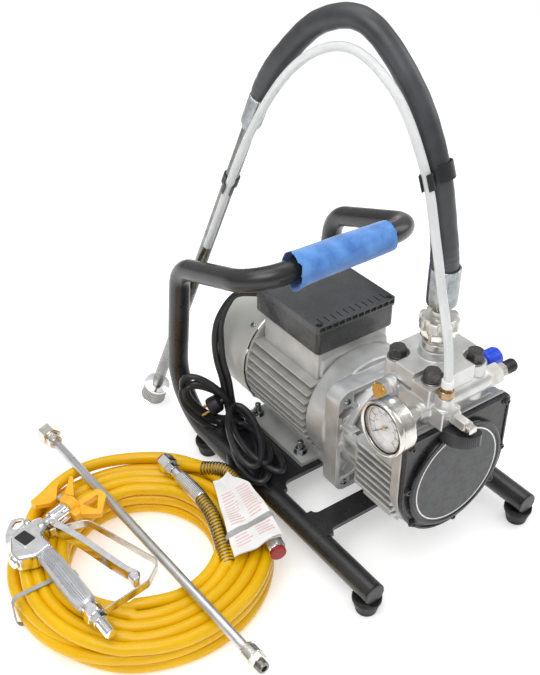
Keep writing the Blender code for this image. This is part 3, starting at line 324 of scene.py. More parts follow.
GAUGE_STEEL = machined("gauge_stainless", (0.62, 0.6, 0.56), (0.76, 0.73, 0.68), 0.2, (0.04, 1, 1))
RUBBER = mottled("rubber", (0.007, 0.007, 0.008), (0.014, 0.014, 0.015), 0.5, scale=70, grain=1200, bump=0.2)
setting(RUBBER, Specular_IOR_Level=0.25)
CABLE = mottled("cable_rubber", (0.012, 0.012, 0.014), (0.022, 0.022, 0.025), 0.36, scale=60, grain=1500,
                bump=0.1)
FOAM = mottled("handle_foam", (0.01, 0.01, 0.011), (0.02, 0.02, 0.021), 0.85, scale=200, grain=700, bump=0.8)
HOSE_RUBBER = wrapped_rubber()
BLUE_CLOTH = non_woven()
BLUE_KNOB = moulded("blue_knob", (0.006, 0.055, 0.62), (0.01, 0.075, 0.74), 0.33, bump=0.1)
YELLOW = yellow_cover()
ORANGE = moulded("orange_plastic", (0.9, 0.42, 0.012), (0.98, 0.5, 0.025), 0.36, bump=0.1)
MILKY = milky()
WHITE_PLASTIC = moulded("white_plastic", (0.74, 0.74, 0.72), (0.84, 0.84, 0.82), 0.35, bump=0.08)
GLASS = clear_glass()
DIAL = mottled("dial_white", (0.8, 0.81, 0.83), (0.88, 0.89, 0.9), 0.45, scale=90, bump=0.02)
INK = mottled("dial_ink", (0.012, 0.012, 0.014), (0.03, 0.03, 0.03), 0.5, scale=200, bump=0.02)
PAPER = mottled("tag_paper", (0.8, 0.79, 0.77), (0.89, 0.88, 0.86), 0.62, scale=18, grain=600, bump=0.25)
PAPER_LINES = mottled("tag_lines", (0.72, 0.42, 0.42), (0.8, 0.52, 0.5), 0.7, scale=400, bump=0.05)
RED_CAP = moulded("red_cap", (0.3, 0.015, 0.012), (0.42, 0.03, 0.02), 0.35, bump=0.08)
TIE_GREY = moulded("tie_grey", (0.3, 0.31, 0.3), (0.42, 0.43, 0.41), 0.5, bump=0.1)
STRAINER = wire_mesh()


# ---------------------------------------------------------------- shapes
def angles(count):
    """Evenly spaced directions round a circle."""
    return [2 * math.pi * i / count for i in range(count)]


def bridge_rings(shape, rings, cap_ends=True, closed=False):
    """Joins rings of equal length with quads, and closes the two ends."""
    count = len(rings[0])
    pairs = list(zip(rings, rings[1:]))
    if closed:
        pairs.append((rings[-1], rings[0]))
    for first, second in pairs:
        for i in range(count):
            j = (i + 1) % count
            shape.faces.new((first[i], first[j], second[j], second[i]))
    if cap_ends and not closed:
        shape.faces.new(rings[0])
        shape.faces.new(rings[-1])


def loft(rings, closed=False):
    """Skins rings of points, all of one length, into a shape."""
    shape = bmesh.new()
    bridge_rings(shape, [[shape.verts.new(point) for point in ring] for ring in rings], closed=closed)
    return shape


def placed(start, direction, turn=0.0):
    """Matrix that carries local Z to direction at start, rolled by turn."""
    roll = Matrix.Rotation(turn, 4, "Z")
    return Matrix.Translation(start) @ Vector(direction).to_track_quat("Z", "Y").to_matrix().to_4x4() @ roll


def section_radius(station, angle):
    """(distance, size), or (distance, size, sides, most) for a polygon cut to a circle of radius most."""
    if len(station) == 2:
        return station[1]
    step = 2 * math.pi / station[2]
    flat = station[1] / math.cos((angle % step) - step / 2)
    return min(flat, station[3]) if len(station) > 3 else flat


def around_axis(start, direction, distances, radius, segments, turn=0.0):
    """Rings round a straight axis; radius(number of the ring, angle) says how far out each point is."""
    place = placed(start, direction, turn)
    rings = []
    for number, distance in enumerate(distances):
        ring = []
        for angle in angles(segments):
            r = radius(number, angle)
            ring.append(place @ Vector((r * math.cos(angle), r * math.sin(angle), distance)))
        rings.append(ring)
    return loft(rings)


def turned(start, direction, stations, segments=48, turn=0.0):
    """Round or polygonal sections along a straight axis."""
    def radius(number, angle):
        return section_radius(stations[number], angle)

    return around_axis(start, direction, [station[0] for station in stations], radius, segments, turn)


def ring_solid(start, direction, profile, segments=64):
    """Revolves a closed outline of (distance, radius) points."""
    place = placed(start, direction)
    rings = []
    for angle in angles(segments):
        rings.append([place @ Vector((r * math.cos(angle), r * math.sin(angle), d)) for d, r in profile])
    return loft(rings, closed=True)


def flatted(start, direction, stations, flats, depth):
    """A turned sleeve with shallow lengthwise marks left by crimping jaws."""
    def pressed(number, angle):
        return stations[number][1] - depth * max(0.0, math.cos(angle * flats)) ** 12

    return around_axis(start, direction, [station[0] for station in stations], pressed, 120)


def lobed(start, direction, stations, lobes, turn=0.0):
    """Sections of (distance, root radius, tip radius) with lobes that fill lobe_share of the round."""
    lobe_share = 0.6

    def scalloped(number, angle):
        root, tip = stations[number][1:]
        phase = abs(((angle * lobes / (2 * math.pi)) % 1.0) - 0.5) * 2
        return root + (tip - root) * min(1.0, max(0.0, (lobe_share - phase) / 0.16 + 0.5))

    return around_axis(start, direction, [station[0] for station in stations], scalloped, lobes * 24, turn)


def cylinder(start, end, radius, segments=32):
    axis = Vector(end) - Vector(start)
    return turned(start, axis, [(0, radius), (axis.length, radius)], segments)


def block(low, high):
    shape = bmesh.new()
    bmesh.ops.create_cube(shape, size=1)
    size = [h - l for l, h in zip(low, high)]
    middle = [(h + l) / 2 for l, h in zip(low, high)]
    shape.transform(Matrix.LocRotScale(Vector(middle), None, Vector(size)))
    return shape


def prism(outline, axis, low, high):
    """Extrudes a flat outline: (y, z) for axis x, (x, z) for axis y and (x, y) for axis z."""
    order = {"x": (2, 0, 1), "y": (0, 2, 1), "z": (0, 1, 2)}[axis]
    rings = []
    for level in (low, high):
        rings.append([[(a, b, level)[k] for k in order] for a, b in outline])
    return loft(rings)


def slab(half_x, half_y, radius, middle, low, high):
    return prism(rounded_rectangle(half_x, half_y, radius, middle), "z", low, high)


def ring_frame(outer, inner, low, high):
    """A frame between two outlines of equal length, between two distances along y."""
    edges = ((outer, high), (outer, low), (inner, low), (inner, high))
    return loft([[(x, y, z) for x, z in outline] for outline, y in edges], closed=True)


def rounded_path(corners, radii, steps=14):
    corners = [Vector(c) for c in corners]
    path = [corners[0]]
    for before, corner, after, radius in zip(corners, corners[1:], corners[2:], radii):
        to_before = (before - corner).normalized()
        to_after = (after - corner).normalized()
        half = to_before.angle(to_after) / 2
        centre = corner + (to_before + to_after).normalized() * (radius / math.sin(half))
        start = corner + to_before * (radius / math.tan(half)) - centre
        axis = start.cross(corner + to_after * (radius / math.tan(half)) - centre)
        for step in range(steps + 1):
            path.append(centre + Matrix.Rotation((math.pi - 2 * half) * step / steps, 3, axis) @ start)
    path.append(corners[-1])
    return path


def rounded_rectangle(half_a, half_b, radius, middle=(0, 0), steps=6):
    points = []
    for quarter, (sign_a, sign_b) in enumerate([(1, 1), (-1, 1), (-1, -1), (1, -1)]):
        for step in range(steps + 1):
            angle = math.pi / 2 * (quarter + step / steps)
            a = middle[0] + sign_a * (half_a - radius) + radius * math.cos(angle)
            b = middle[1] + sign_b * (half_b - radius) + radius * math.sin(angle)
            points.append((a, b))
    return points


def smooth_path(points, steps, closed=False):
    """Catmull-Rom curve through the points."""
    points = [Vector(p) for p in points]
    if closed:
        ends = [points[-1], *points, points[0], points[1]]
    else:
        ends = [points[0] * 2 - points[1], *points, points[-1] * 2 - points[-2]]
    path = []
    for a, b, c, d in zip(ends, ends[1:], ends[2:], ends[3:]):
        for step in range(steps):
            t = step / steps
            path.append((b * 2
                         + (c - a) * t
                         + (a * 2 - b * 5 + c * 4 - d) * t**2 + (b * 3 - a - c * 3 + d) * t**3) / 2)
    if not closed:
        path.append(points[-1])
    return path


def sweep(path, radius, segments=24, closed=False):
    """A round bar along a path; radius is a size or a function of the point's number in the path."""
    path = [Vector(p) for p in path]
    count = len(path)
    rings = []
    side = None
    for i, point in enumerate(path):
        ahead = path[(i + 1) % count] if closed else path[min(i + 1, count - 1)]
        behind = path[i - 1] if closed or i else path[0]
        tangent = (ahead - behind).normalized()
        if side is None:
            side = tangent.orthogonal()
        side = (side - tangent * side.dot(tangent)).normalized()
        other = tangent.cross(side)
        size = radius(i) if callable(radius) else radius
        rings.append([point + (side * math.cos(a) + other * math.sin(a)) * size for a in angles(segments)])
    return loft(rings, closed)


def joined(shapes):
    """Several shapes as one bmesh, left as separate shells."""
    whole = bmesh.new()
    for shape in shapes:
        mesh = bpy.data.meshes.new("joining")
        shape.to_mesh(mesh)
        shape.free()
        whole.from_mesh(mesh)
        bpy.data.meshes.remove(mesh)
    return whole


def linked_object(name, shape):
    """Moves a shape from machine coordinates into the frame's own, as a new object of the scene."""
    bmesh.ops.recalc_face_normals(shape, faces=shape.faces)
    shape.transform(Matrix.Translation(SHIFT))
    mesh = bpy.data.meshes.new(name)
    shape.to_mesh(mesh)
    shape.free()
    made = bpy.data.objects.new(name, mesh)
    bpy.context.scene.collection.objects.link(made)
    return made


def bake_modifiers(piece):
    """Keeps what a piece's modifiers make of it as its plain mesh."""
    graph = bpy.context.evaluated_depsgraph_get()
    result = bpy.data.meshes.new_from_object(piece.evaluated_get(graph))
    piece.modifiers.clear()
    piece.data = result


def round_edges(piece, width, limit=32):
    """Bevels every edge sharper than limit, in degrees."""
    bevel = piece.modifiers.new("round_edges", "BEVEL")
    bevel.width = width
    bevel.segments = 2
    bevel.limit_method = "ANGLE"
    bevel.angle_limit = math.radians(limit)


def smooth_below(piece, angle=32):
    """Shades a piece smooth except at edges sharper than angle, in degrees."""
    piece.data.shade_smooth()
    piece.data.set_sharp_from_angle(angle=math.radians(angle))


def add(name, shape, material, body="machine", bevel=0.0, replaces=(), angle=32, cuts=(), carry=None):
    """Makes a piece of the object from a shape, with cuts taken out and its edges rounded."""
    piece = linked_object(name, shape)
    piece.data.materials.append(material)
    if cuts:
        carve(piece, cuts)
    smooth_below(piece, angle)
    if bevel:
        round_edges(piece, bevel)
        smooth_below(piece)
    if carry is None:
        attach(piece, body)
    if replaces:
        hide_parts(*replaces)
    return piece


def carve(piece, cuts):
    """Takes shapes out of a piece, and keeps the result as its plain mesh."""
    tools = []
    for number, shape in enumerate(cuts):
        tool = linked_object(f"cut{number}", shape)
        modifier = piece.modifiers.new("cut", "BOOLEAN")
        modifier.operation = "DIFFERENCE"
        modifier.object = tool
        modifier.solver = "EXACT"
        tools.append(tool)
    bake_modifiers(piece)
    for tool in tools:
        bpy.data.objects.remove(tool)


def cast_piece(name, shapes, material, grain, replaces=(), cuts=(), soften=3):
    """Overlapping shapes melted into one casting with small fillets, then cut."""
    piece = add(name, joined(shapes), material, replaces=replaces)
    melt = piece.modifiers.new("melt", "REMESH")
    melt.mode = "VOXEL"
    melt.voxel_size = grain
    melt.use_smooth_shade = True
    soft = piece.modifiers.new("soften", "SMOOTH")
    soft.factor = 0.5
    soft.iterations = soften
    bake_modifiers(piece)
    if not piece.data.materials:
        piece.data.materials.append(material)
    if cuts:
        carve(piece, cuts)
    smooth_below(piece, 50)
    return piece


def dress(node, material, bevel=0.0):
    """Gives a CAD node its finish, and rounds its edges."""
    piece = NODES[node]
    piece.data.materials.clear()
    piece.data.materials.append(material)
    smooth_below(piece)
    if bevel:
        round_edges(piece, bevel, 40)


def hex_head(start, direction, half_flats, height, flange=0.0, turn=0.0):
    """Bolt head or nut: optional round flange, hexagon with turned-down corners."""
    corner = half_flats / math.cos(math.pi / 6)
    stations = []
    base = 0.0
    if flange:
        stations += [(0, flange - 0.0004), (0.0004, flange), (0.0018, flange - 0.0002),
                     (0.003, half_flats + 0.0012)]
        base = 0.003
    stations += [(base, half_flats, 6, corner * 0.985), (base + 0.0008, half_flats, 6, corner),
                 (height - 0.0016, half_flats, 6, corner), (height - 0.0007, half_flats, 6, corner * 0.955),
                 (height, half_flats, 6, half_flats * 0.97), (height, half_flats * 0.6)]
    return turned(start, direction, stations, 72, turn)


def thread(start, direction, radius, length, pitch, segments=40):
    """Thread shown as close rings between root and crest."""
    stations = [(0, radius - 0.0008)]
    count = max(2, int(length / pitch))
    for number in range(count):
        base = length * number / count
        stations += [(base + pitch * 0.2, radius - 0.0006), (base + pitch * 0.45, radius),
                     (base + pitch * 0.6, radius), (base + pitch * 0.85, radius - 0.0006)]
    stations.append((length, radius - 0.0009))
    return turned(start, direction, stations, segments)


def socket_screw(name, start, direction, radius, height, material, body="machine"):
    """Cylinder head with a hexagon socket."""
    stations = [(0, radius), (height - 0.0005, radius), (height, radius - 0.0005), (height, radius * 0.58),
                (height - 0.0005, radius * 0.52, 6), (height - radius * 0.7, radius * 0.52, 6)]
    return add(name, turned(start, direction, stations, 36), material, body, angle=28)


def cross_screw(name, start, direction, radius, height, material, body="machine"):
    """Pan head with a cross recess."""
    stations = [(0, radius), (height * 0.3, radius), (height * 0.7, radius * 0.82), (height, radius * 0.45)]
    slots = []
    for turn in (0, math.pi / 2):
        slot = block((-radius * 0.55, -radius * 0.11, height * 0.4),
                     (radius * 0.55, radius * 0.11, height * 1.5))
        slot.transform(placed(start, direction, turn))
        slots.append(slot)
    return add(name, turned(start, direction, stations, 32), material, body, cuts=slots, angle=28)


# ---------------------------------------------------------------- frame, feet and handle wrap
def build_frame():
    left = [(-SKID_X, 0.002, SKID_Z), (-SKID_X, 0.438, SKID_Z), (-SKID_X, 0.404, 0.274),
            (-SKID_X, HANDLE_Y, HANDLE_Z)]
    right = [(-x, y, z) for x, y, z in reversed(left)]
    radii = [0.08, 0.045, 0.048]
    path = rounded_path(left + right, radii + radii[::-1])
    add("frame_tube_skin", sweep(path, TUBE_R, 40), POWDER, replaces=["frame_tube"])
    dress("front_cross_plate", POWDER, 0.0008)
    dress("rear_cross_plate", POWDER, 0.0008)
    plug = [(0, 0.0122), (0.0003, 0.0124), (0.0004, 0.0132), (0.001, 0.0139), (0.0017, 0.0139)]
    for side, x in (("left", -SKID_X), ("right", SKID_X)):
        add(f"end_plug_{side}", turned((x, 0, SKID_Z), TO_BACK, plug), COVER_PLATE,
            replaces=[f"tube_end_cap_{side}"], angle=25)
        for end, y in zip(("front", "rear"), FEET_Y):
            build_foot(f"{end}_{side}", x, y)
    for number, (x, y) in enumerate((x, y) for x in (-0.11, 0.11) for y in (0.1165, 0.2665)):
        bead = [(x - 0.003, y - 0.012, 0.0495), (x, y, 0.05), (x - 0.003, y + 0.012, 0.0495)]
        add(f"weld_bead_{number + 1}", sweep(smooth_path(bead, 6), 0.0016, 10), POWDER)


def build_foot(place, x, y):
    """Tapered rubber foot, saddled up to the tube, with a rolled lip and a moulding line."""
    stations = [(0, 0.0112), (0.0006, 0.0122), (0.0016, 0.0128), (0.004, 0.0133), (0.016, 0.0163),
                (0.0168, 0.017), (0.0185, 0.0177), (0.0225, 0.0178), (0.0242, 0.0172), (0.025, 0.016)]
    foot = turned((x, y, 0), UP, stations, 56)
    saddle = cylinder((x, y - 0.03, SKID_Z), (x, y + 0.03, SKID_Z), TUBE_R + 0.0002, 56)
    recess = cylinder((x, y, -0.001), (x, y, 0.0035), 0.006, 32)
    add(f"rubber_foot_{place}", foot, RUBBER, replaces=[f"foot_{place}"], cuts=[saddle, recess])


def sleeve_point(share, angle, outward):
    """The wrap: a loose tube with a lapped seam, long creases and torn ends."""
    torn = 0.0035 * noise.noise(Vector((math.cos(angle) * 2.2, math.sin(angle) * 2.2, 3.1)))
    ragged = 0.0016 * noise.noise(Vector((angle * 9.0, 0.4, 1.7)))
    hang = 0.0075 * max(0.0, math.cos(angle - math.radians(235))) ** 8
    start = -0.072 + torn + ragged - hang
    end = 0.072 + 0.6 * torn + ragged
    x = start + (end - start) * share
    crease = 0.0011 * noise.noise(Vector((x * 12, math.cos(angle) * 2.5, math.sin(angle) * 2.5)))
    ridge = 0.0006 * math.sin(angle * 3 + x * 18) * math.sin(angle + 0.8)
    lap = 0.0006 if 0 < (angle - math.radians(150) + 8 * x) % (2 * math.pi) < 0.9 else 0.0
    loose = 0.0018 * math.exp(-((x - start) / 0.012) ** 2) * (0.6 + 0.8 * math.sin(angle * 5 + 1.0))
    r = 0.0205 + crease + ridge + lap + loose + outward
    return Vector((x, HANDLE_Y + r * math.cos(angle), HANDLE_Z + r * math.sin(angle)))


def build_sleeve():
    around, along = 120, 90
    shape = bmesh.new()
    layers = []
    for outward in (0.0, -0.0007):
        rows = []
        for j in range(along + 1):
            share = j / along
            rows.append([shape.verts.new(sleeve_point(share, angle, outward)) for angle in angles(around)])
        bridge_rings(shape, rows, cap_ends=False)
        layers.append(rows)
    for end in (0, -1):
        for i in range(around):
            j = (i + 1) % around
            shape.faces.new((layers[0][end][i], layers[0][end][j], layers[1][end][j], layers[1][end][i]))
    add("blue_wrap", shape, BLUE_CLOTH, replaces=["handle_sleeve"], angle=60)
    foam = [(-0.0625, TUBE_R + 0.0001), (-0.0632, 0.0158), (-0.062, 0.0168), (0.071, 0.0168),
            (0.0718, 0.0158), (0.0712, TUBE_R + 0.0001)]
    add("handle_foam", ring_solid((0, HANDLE_Y, HANDLE_Z), TO_RIGHT, foam), FOAM)
    for number, (angle, length) in enumerate(((228, 0.01), (243, 0.013), (252, 0.008))):
        a = math.radians(angle)
        base = Vector((-0.0655, HANDLE_Y + 0.0185 * math.cos(a), HANDLE_Z + 0.0185 * math.sin(a)))
        tip = base + Vector((-length * 0.7, 0.0015 * math.cos(a), -length * 0.45))
        build_tatter(f"wrap_tatter_{number + 1}", base, tip)


def build_tatter(name, base, tip):
    """A torn tongue of the wrap that hangs off its left end."""
    rings = []
    for step in range(9):
        t = step / 8
        middle = base.lerp(tip, t) + Vector((0.004 * (1 - t), 0, 0.0012 * math.sin(t * 5)))
        width = 0.0032 * (1 - t) ** 0.6 + 0.0004
        flutter = 0.0008 * math.sin(t * 9 + base.y * 300)
        corners = [(-width, 0.00025), (width, 0.00025), (width, -0.00025), (-width, -0.00025)]
        rings.append([middle + Vector((0, y + flutter, z)) for y, z in corners])
    add(name, loft(rings), BLUE_CLOTH, angle=60)


# ---------------------------------------------------------------- motor
def build_motor():
    dress("motor_housing", CAST_PALE, 0.0006)
    dress("stator_core", DULL_STEEL)
    dress("motor_end_shield", CAST_PALE, 0.0005)
    dress("rear_bearing", STEEL)
    dress("rotor_shaft", DULL_STEEL, 0.0004)
    dress("cooling_fan", BLACK_PLASTIC, 0.0003)
    dress("eccentric", DULL_STEEL, 0.0004)
    dress("piston", STEEL, 0.0004)
    for number, (x, y) in enumerate((x, y) for y in (0.228, 0.325) for x in (-0.062, 0.062)):
        washer = [(0, 0.004), (0, 0.0088), (0.0002, 0.009), (0.0014, 0.009), (0.0016, 0.0088),
                  (0.0016, 0.004)]
        bolt = joined([ring_solid((x, y, 0.0572), UP, washer, 40),
                       hex_head((x, y, 0.0589), UP, 0.0063, 0.0066, turn=0.3 + number),
                       thread((x, y, 0.065), UP, 0.004, 0.0105, 0.00125)])
        add(f"foot_stud_{number + 1}", bolt, ZINC, replaces=[f"motor_bolt_{number + 1}"], angle=28)
    build_cowl()
    build_box()


def build_cowl():
    """Painted sheet cup over the fan, stepped back beside the terminal box."""
    wall = 0.0014
    front, back = 0.327, 0.4046
    cup = [(front, COWL_R - wall), (front - 0.0002, COWL_R - 0.0006), (front + 0.0004, COWL_R),
           (back - 0.009, COWL_R)]
    for step in range(1, 8):
        angle = math.pi / 2 * step / 7
        cup.append((back - 0.009 + 0.009 * math.sin(angle), COWL_R - 0.009 * (1 - math.cos(angle))))
    cup += [(back, 0.0095), (back - wall, 0.0095)]
    for step in range(6, -1, -1):
        angle = math.pi / 2 * step / 7
        cup.append((back - 0.009 + 0.0076 * math.sin(angle), COWL_R - wall - 0.0076 * (1 - math.cos(angle))))
    cuts = []
    for low, high, count in ((0.02, 0.036, 12), (0.042, 0.062, 20)):
        for number in range(count):
            slot = block((-0.0026, back - 0.006, low), (0.0026, back + 0.006, high))
            turn = Matrix.Rotation(2 * math.pi * number / count, 4, "Y")
            slot.transform(Matrix.Translation((0, 0, SHAFT_Z)) @ turn)
            cuts.append(slot)
    step_outline = [(-0.04, 0.32), (0.04, 0.32), (0.04, 0.334), (0.034, 0.34), (-0.034, 0.34), (-0.04, 0.334)]
    cuts.append(prism(step_outline, "z", SHAFT_Z + 0.04, SHAFT_Z + 0.1))
    add("fan_cowl_skin", ring_solid((0, 0, SHAFT_Z), TO_BACK, cup, 128), COWL_PAINT, replaces=["fan_cowl"],
        cuts=cuts, bevel=0.0003)
    for number, angle in enumerate((136, 224, 316, 44)):
        a = math.radians(angle)
        out = Vector((math.cos(a), 0, math.sin(a)))
        start = Vector((0, 0.3362, SHAFT_Z)) + out * (COWL_R - 0.0003)
        cross_screw(f"cowl_screw_{number + 1}", start, out, 0.0042, 0.0022, ZINC)


def build_box():
    """Terminal box on a low cast pedestal: base under a lid with finger slots and a laddered front edge."""
    low_y, high_y = 0.2005, 0.332
    middle = (0, (low_y + high_y) / 2)
    plan = rounded_rectangle(0.06, (high_y - low_y) / 2, 0.006, middle)
    rings = []
    for z, shrink in ((0.2215, 0.0052), (0.2262, 0.0004), (0.228, 0.0), (0.256, 0.0)):
        in_x, in_y = 1 - shrink / 0.06, 1 - shrink / 0.066
        rings.append([(x * in_x, middle[1] + (y - middle[1]) * in_y, z) for x, y in plan])
    add("box_base", loft(rings), DARK_PLASTIC, replaces=["terminal_box_base"], bevel=0.0008)
    pedestal = prism(rounded_rectangle(0.056, 0.056, 0.004, (0, 0.262)), "z", 0.185, 0.2222)
    add("box_pedestal", pedestal, CAST_PALE, bevel=0.001)
    low_y, high_y = 0.1995, 0.3335
    half, bottom, top = 0.061, 0.2563, 0.266
    outline = rounded_rectangle(half, (high_y - low_y) / 2, 0.0045, (0, (low_y + high_y) / 2))
    cuts = []
    slots, pitch = 11, 0.0098
    for number in range(slots):
        x = (number - (slots - 1) / 2) * pitch
        cuts.append(block((x - 0.0008, low_y + 0.0062, top - 0.0016),
                          (x + 0.0008, low_y + 0.0185, top + 0.002)))
    for number in range(slots + 1):
        x = (number - slots / 2) * pitch
        cuts.append(block((x - pitch / 2 + 0.0007, low_y - 0.002, bottom + 0.003),
                          (x + pitch / 2 - 0.0007, low_y + 0.003, top - 0.0012)))
    corners = [(-half + 0.0065, low_y + 0.0065), (half - 0.0065, low_y + 0.0065),
               (-half + 0.0065, high_y - 0.0065), (half - 0.0065, high_y - 0.0065)]
    for x, y in corners:
        cuts.append(cylinder((x, y, top - 0.0055), (x, y, top + 0.002), 0.004, 24))
    # The lid's lighter plastic is painted sheen from the light above; it is the same plastic as the base.
    add("box_lid", prism(outline, "z", bottom, top), LID_PLASTIC_PAINTED_SHEEN, bevel=0.0006, replaces=["terminal_box_lid"],
        cuts=cuts)
    for number, (x, y) in enumerate(corners):
        cross_screw(f"lid_screw_{number + 1}", (x, y, top - 0.0054), UP, 0.0033, 0.0022, ZINC)
    seal = rounded_rectangle(half - 0.0022, (high_y - low_y) / 2 - 0.0022, 0.004, (0, (low_y + high_y) / 2))
    add("box_seal", prism(seal, "z", 0.2559, 0.2566), RUBBER)


# ---------------------------------------------------------------- adapter between motor and pump
def rib(start, end, half_width, depth_start, depth_end):
    """A tapering wall between two points, standing in the plane that holds them and the shaft's direction."""
    start, end = Vector(start), Vector(end)
    side = (end - start).cross(Vector(TO_BACK)).normalized() * half_width
    rings = []
    for point, depth in ((start, depth_start), (end, depth_end)):
        drop = Vector((0, depth, 0))
        rings.append([point + side, point - side, point - side + drop, point + side + drop])
    return loft(rings)


def build_adapter():
    """Square flange with a raised rim, corner pads, a raised ring round the neck and slanting webs."""
    middle = (0, 0.133)
    plate = prism(rounded_rectangle(0.0745, 0.0765, 0.017, middle, 10), "y", 0.15, 0.1655)
    rim = ring_frame(rounded_rectangle(0.0745, 0.0765, 0.017, middle, 10),
                     rounded_rectangle(0.0672, 0.069, 0.011, middle, 10), 0.1405, 0.151)
    ring = ring_solid((0, 0, SHAFT_Z), TO_BACK,
                      [(0.13, 0.061), (0.13, 0.0665), (0.151, 0.07), (0.151, 0.061)], 96)
    cone = turned((0, 0, SHAFT_Z), TO_BACK,
                  [(0.1105, 0.0535), (0.12, 0.0545), (0.142, 0.0575), (0.151, 0.06)], 96)
    bell = turned((0, 0, SHAFT_Z), TO_BACK,
                  [(0.164, 0.076), (0.166, 0.0775), (0.195, 0.079), (0.1985, 0.0775)], 96)
    shapes = [plate, rim, ring, cone, bell]
    for x in (-1, 1):
        for z in (0.196, 0.069):
            corner = Vector((x * 0.0605, 0.151, z))
            shapes.append(turned(corner, TO_FRONT, [(0, 0.0112), (0.0105, 0.0105)], 40))
            away = Vector((corner.x, 0, z - SHAFT_Z)).normalized()
            inner = Vector((0, 0.133, SHAFT_Z)) + away * 0.064
            shapes.append(rib(inner, corner + Vector((0, -0.0085, 0)), 0.003, 0.02, 0.01))
    shapes.append(rib((-0.03, 0.132, SHAFT_Z + 0.057), (-0.066, 0.141, SHAFT_Z + 0.026), 0.0026, 0.02, 0.011))
    shapes.append(block((-0.07, 0.12, 0.133), (-0.056, 0.152, 0.139)))
    shapes.append(block((-0.07, 0.12, 0.159), (-0.056, 0.152, 0.165)))
    shapes.append(block((-0.064, 0.1, 0.14), (-0.077, 0.126, 0.163)))
    foot = prism([(-0.045, 0.059), (0.045, 0.059), (0.034, 0.0515), (-0.034, 0.0515)], "y", 0.15, 0.196)
    shapes.append(foot)
    window = block((-0.09, 0.1045, 0.1445), (-0.069, 0.1225, 0.1585))
    hole = cylinder((-0.069, 0.136, 0.179), (-0.069, 0.156, 0.179), 0.0045, 32)
    cast_piece("adapter_casting", shapes, CAST, 0.0009, replaces=["adapter_flange"], cuts=[window, hole])
    for number, (x, z) in enumerate(((-0.0605, 0.196), (0.0605, 0.196), (-0.0605, 0.069), (0.0605, 0.069))):
        cross_screw(f"adapter_screw_{number + 1}", (x, 0.1412, z), TO_FRONT, 0.0052, 0.0034, ZINC)


# ---------------------------------------------------------------- pump and cover
def cover_outline(inset=0.0, steps=40):
    """Flat across the top, straight sides and a round bottom."""
    half = 0.08 - inset
    top = 0.222 - inset
    corner = 0.006
    right = []
    for step in range(7):
        angle = math.pi / 2 * (1 - step / 6)
        right.append((half - corner + corner * math.cos(angle), top - corner + corner * math.sin(angle)))
    for step in range(steps + 1):
        angle = math.pi / 2 * step / steps
        right.append((half * math.cos(angle), COVER_AXIS_Z - half * math.sin(angle)))
    right[-1] = (0, COVER_AXIS_Z - half)
    return right + [(-x, z) for x, z in reversed(right) if x > 0]


COVER_SCREWS = [(-0.0725, 0.2145), (0.0725, 0.2145), (-0.0728, 0.1525), (0.075, 0.146), (-0.059, 0.096),
                (0.064, 0.101), (0.007, 0.07)]


def fin_outline(half, front, back, corner):
    """Plan of one cooling fin: square at the cover, rounded towards the motor."""
    points = [(half, front), (-half, front)]
    for side, first in ((-1, math.pi), (1, math.pi / 2)):
        for step in range(9):
            angle = first - math.pi / 2 * step / 8
            points.append((side * (half - corner) + corner * math.cos(angle),
                           back - corner + corner * math.sin(angle)))
    return points


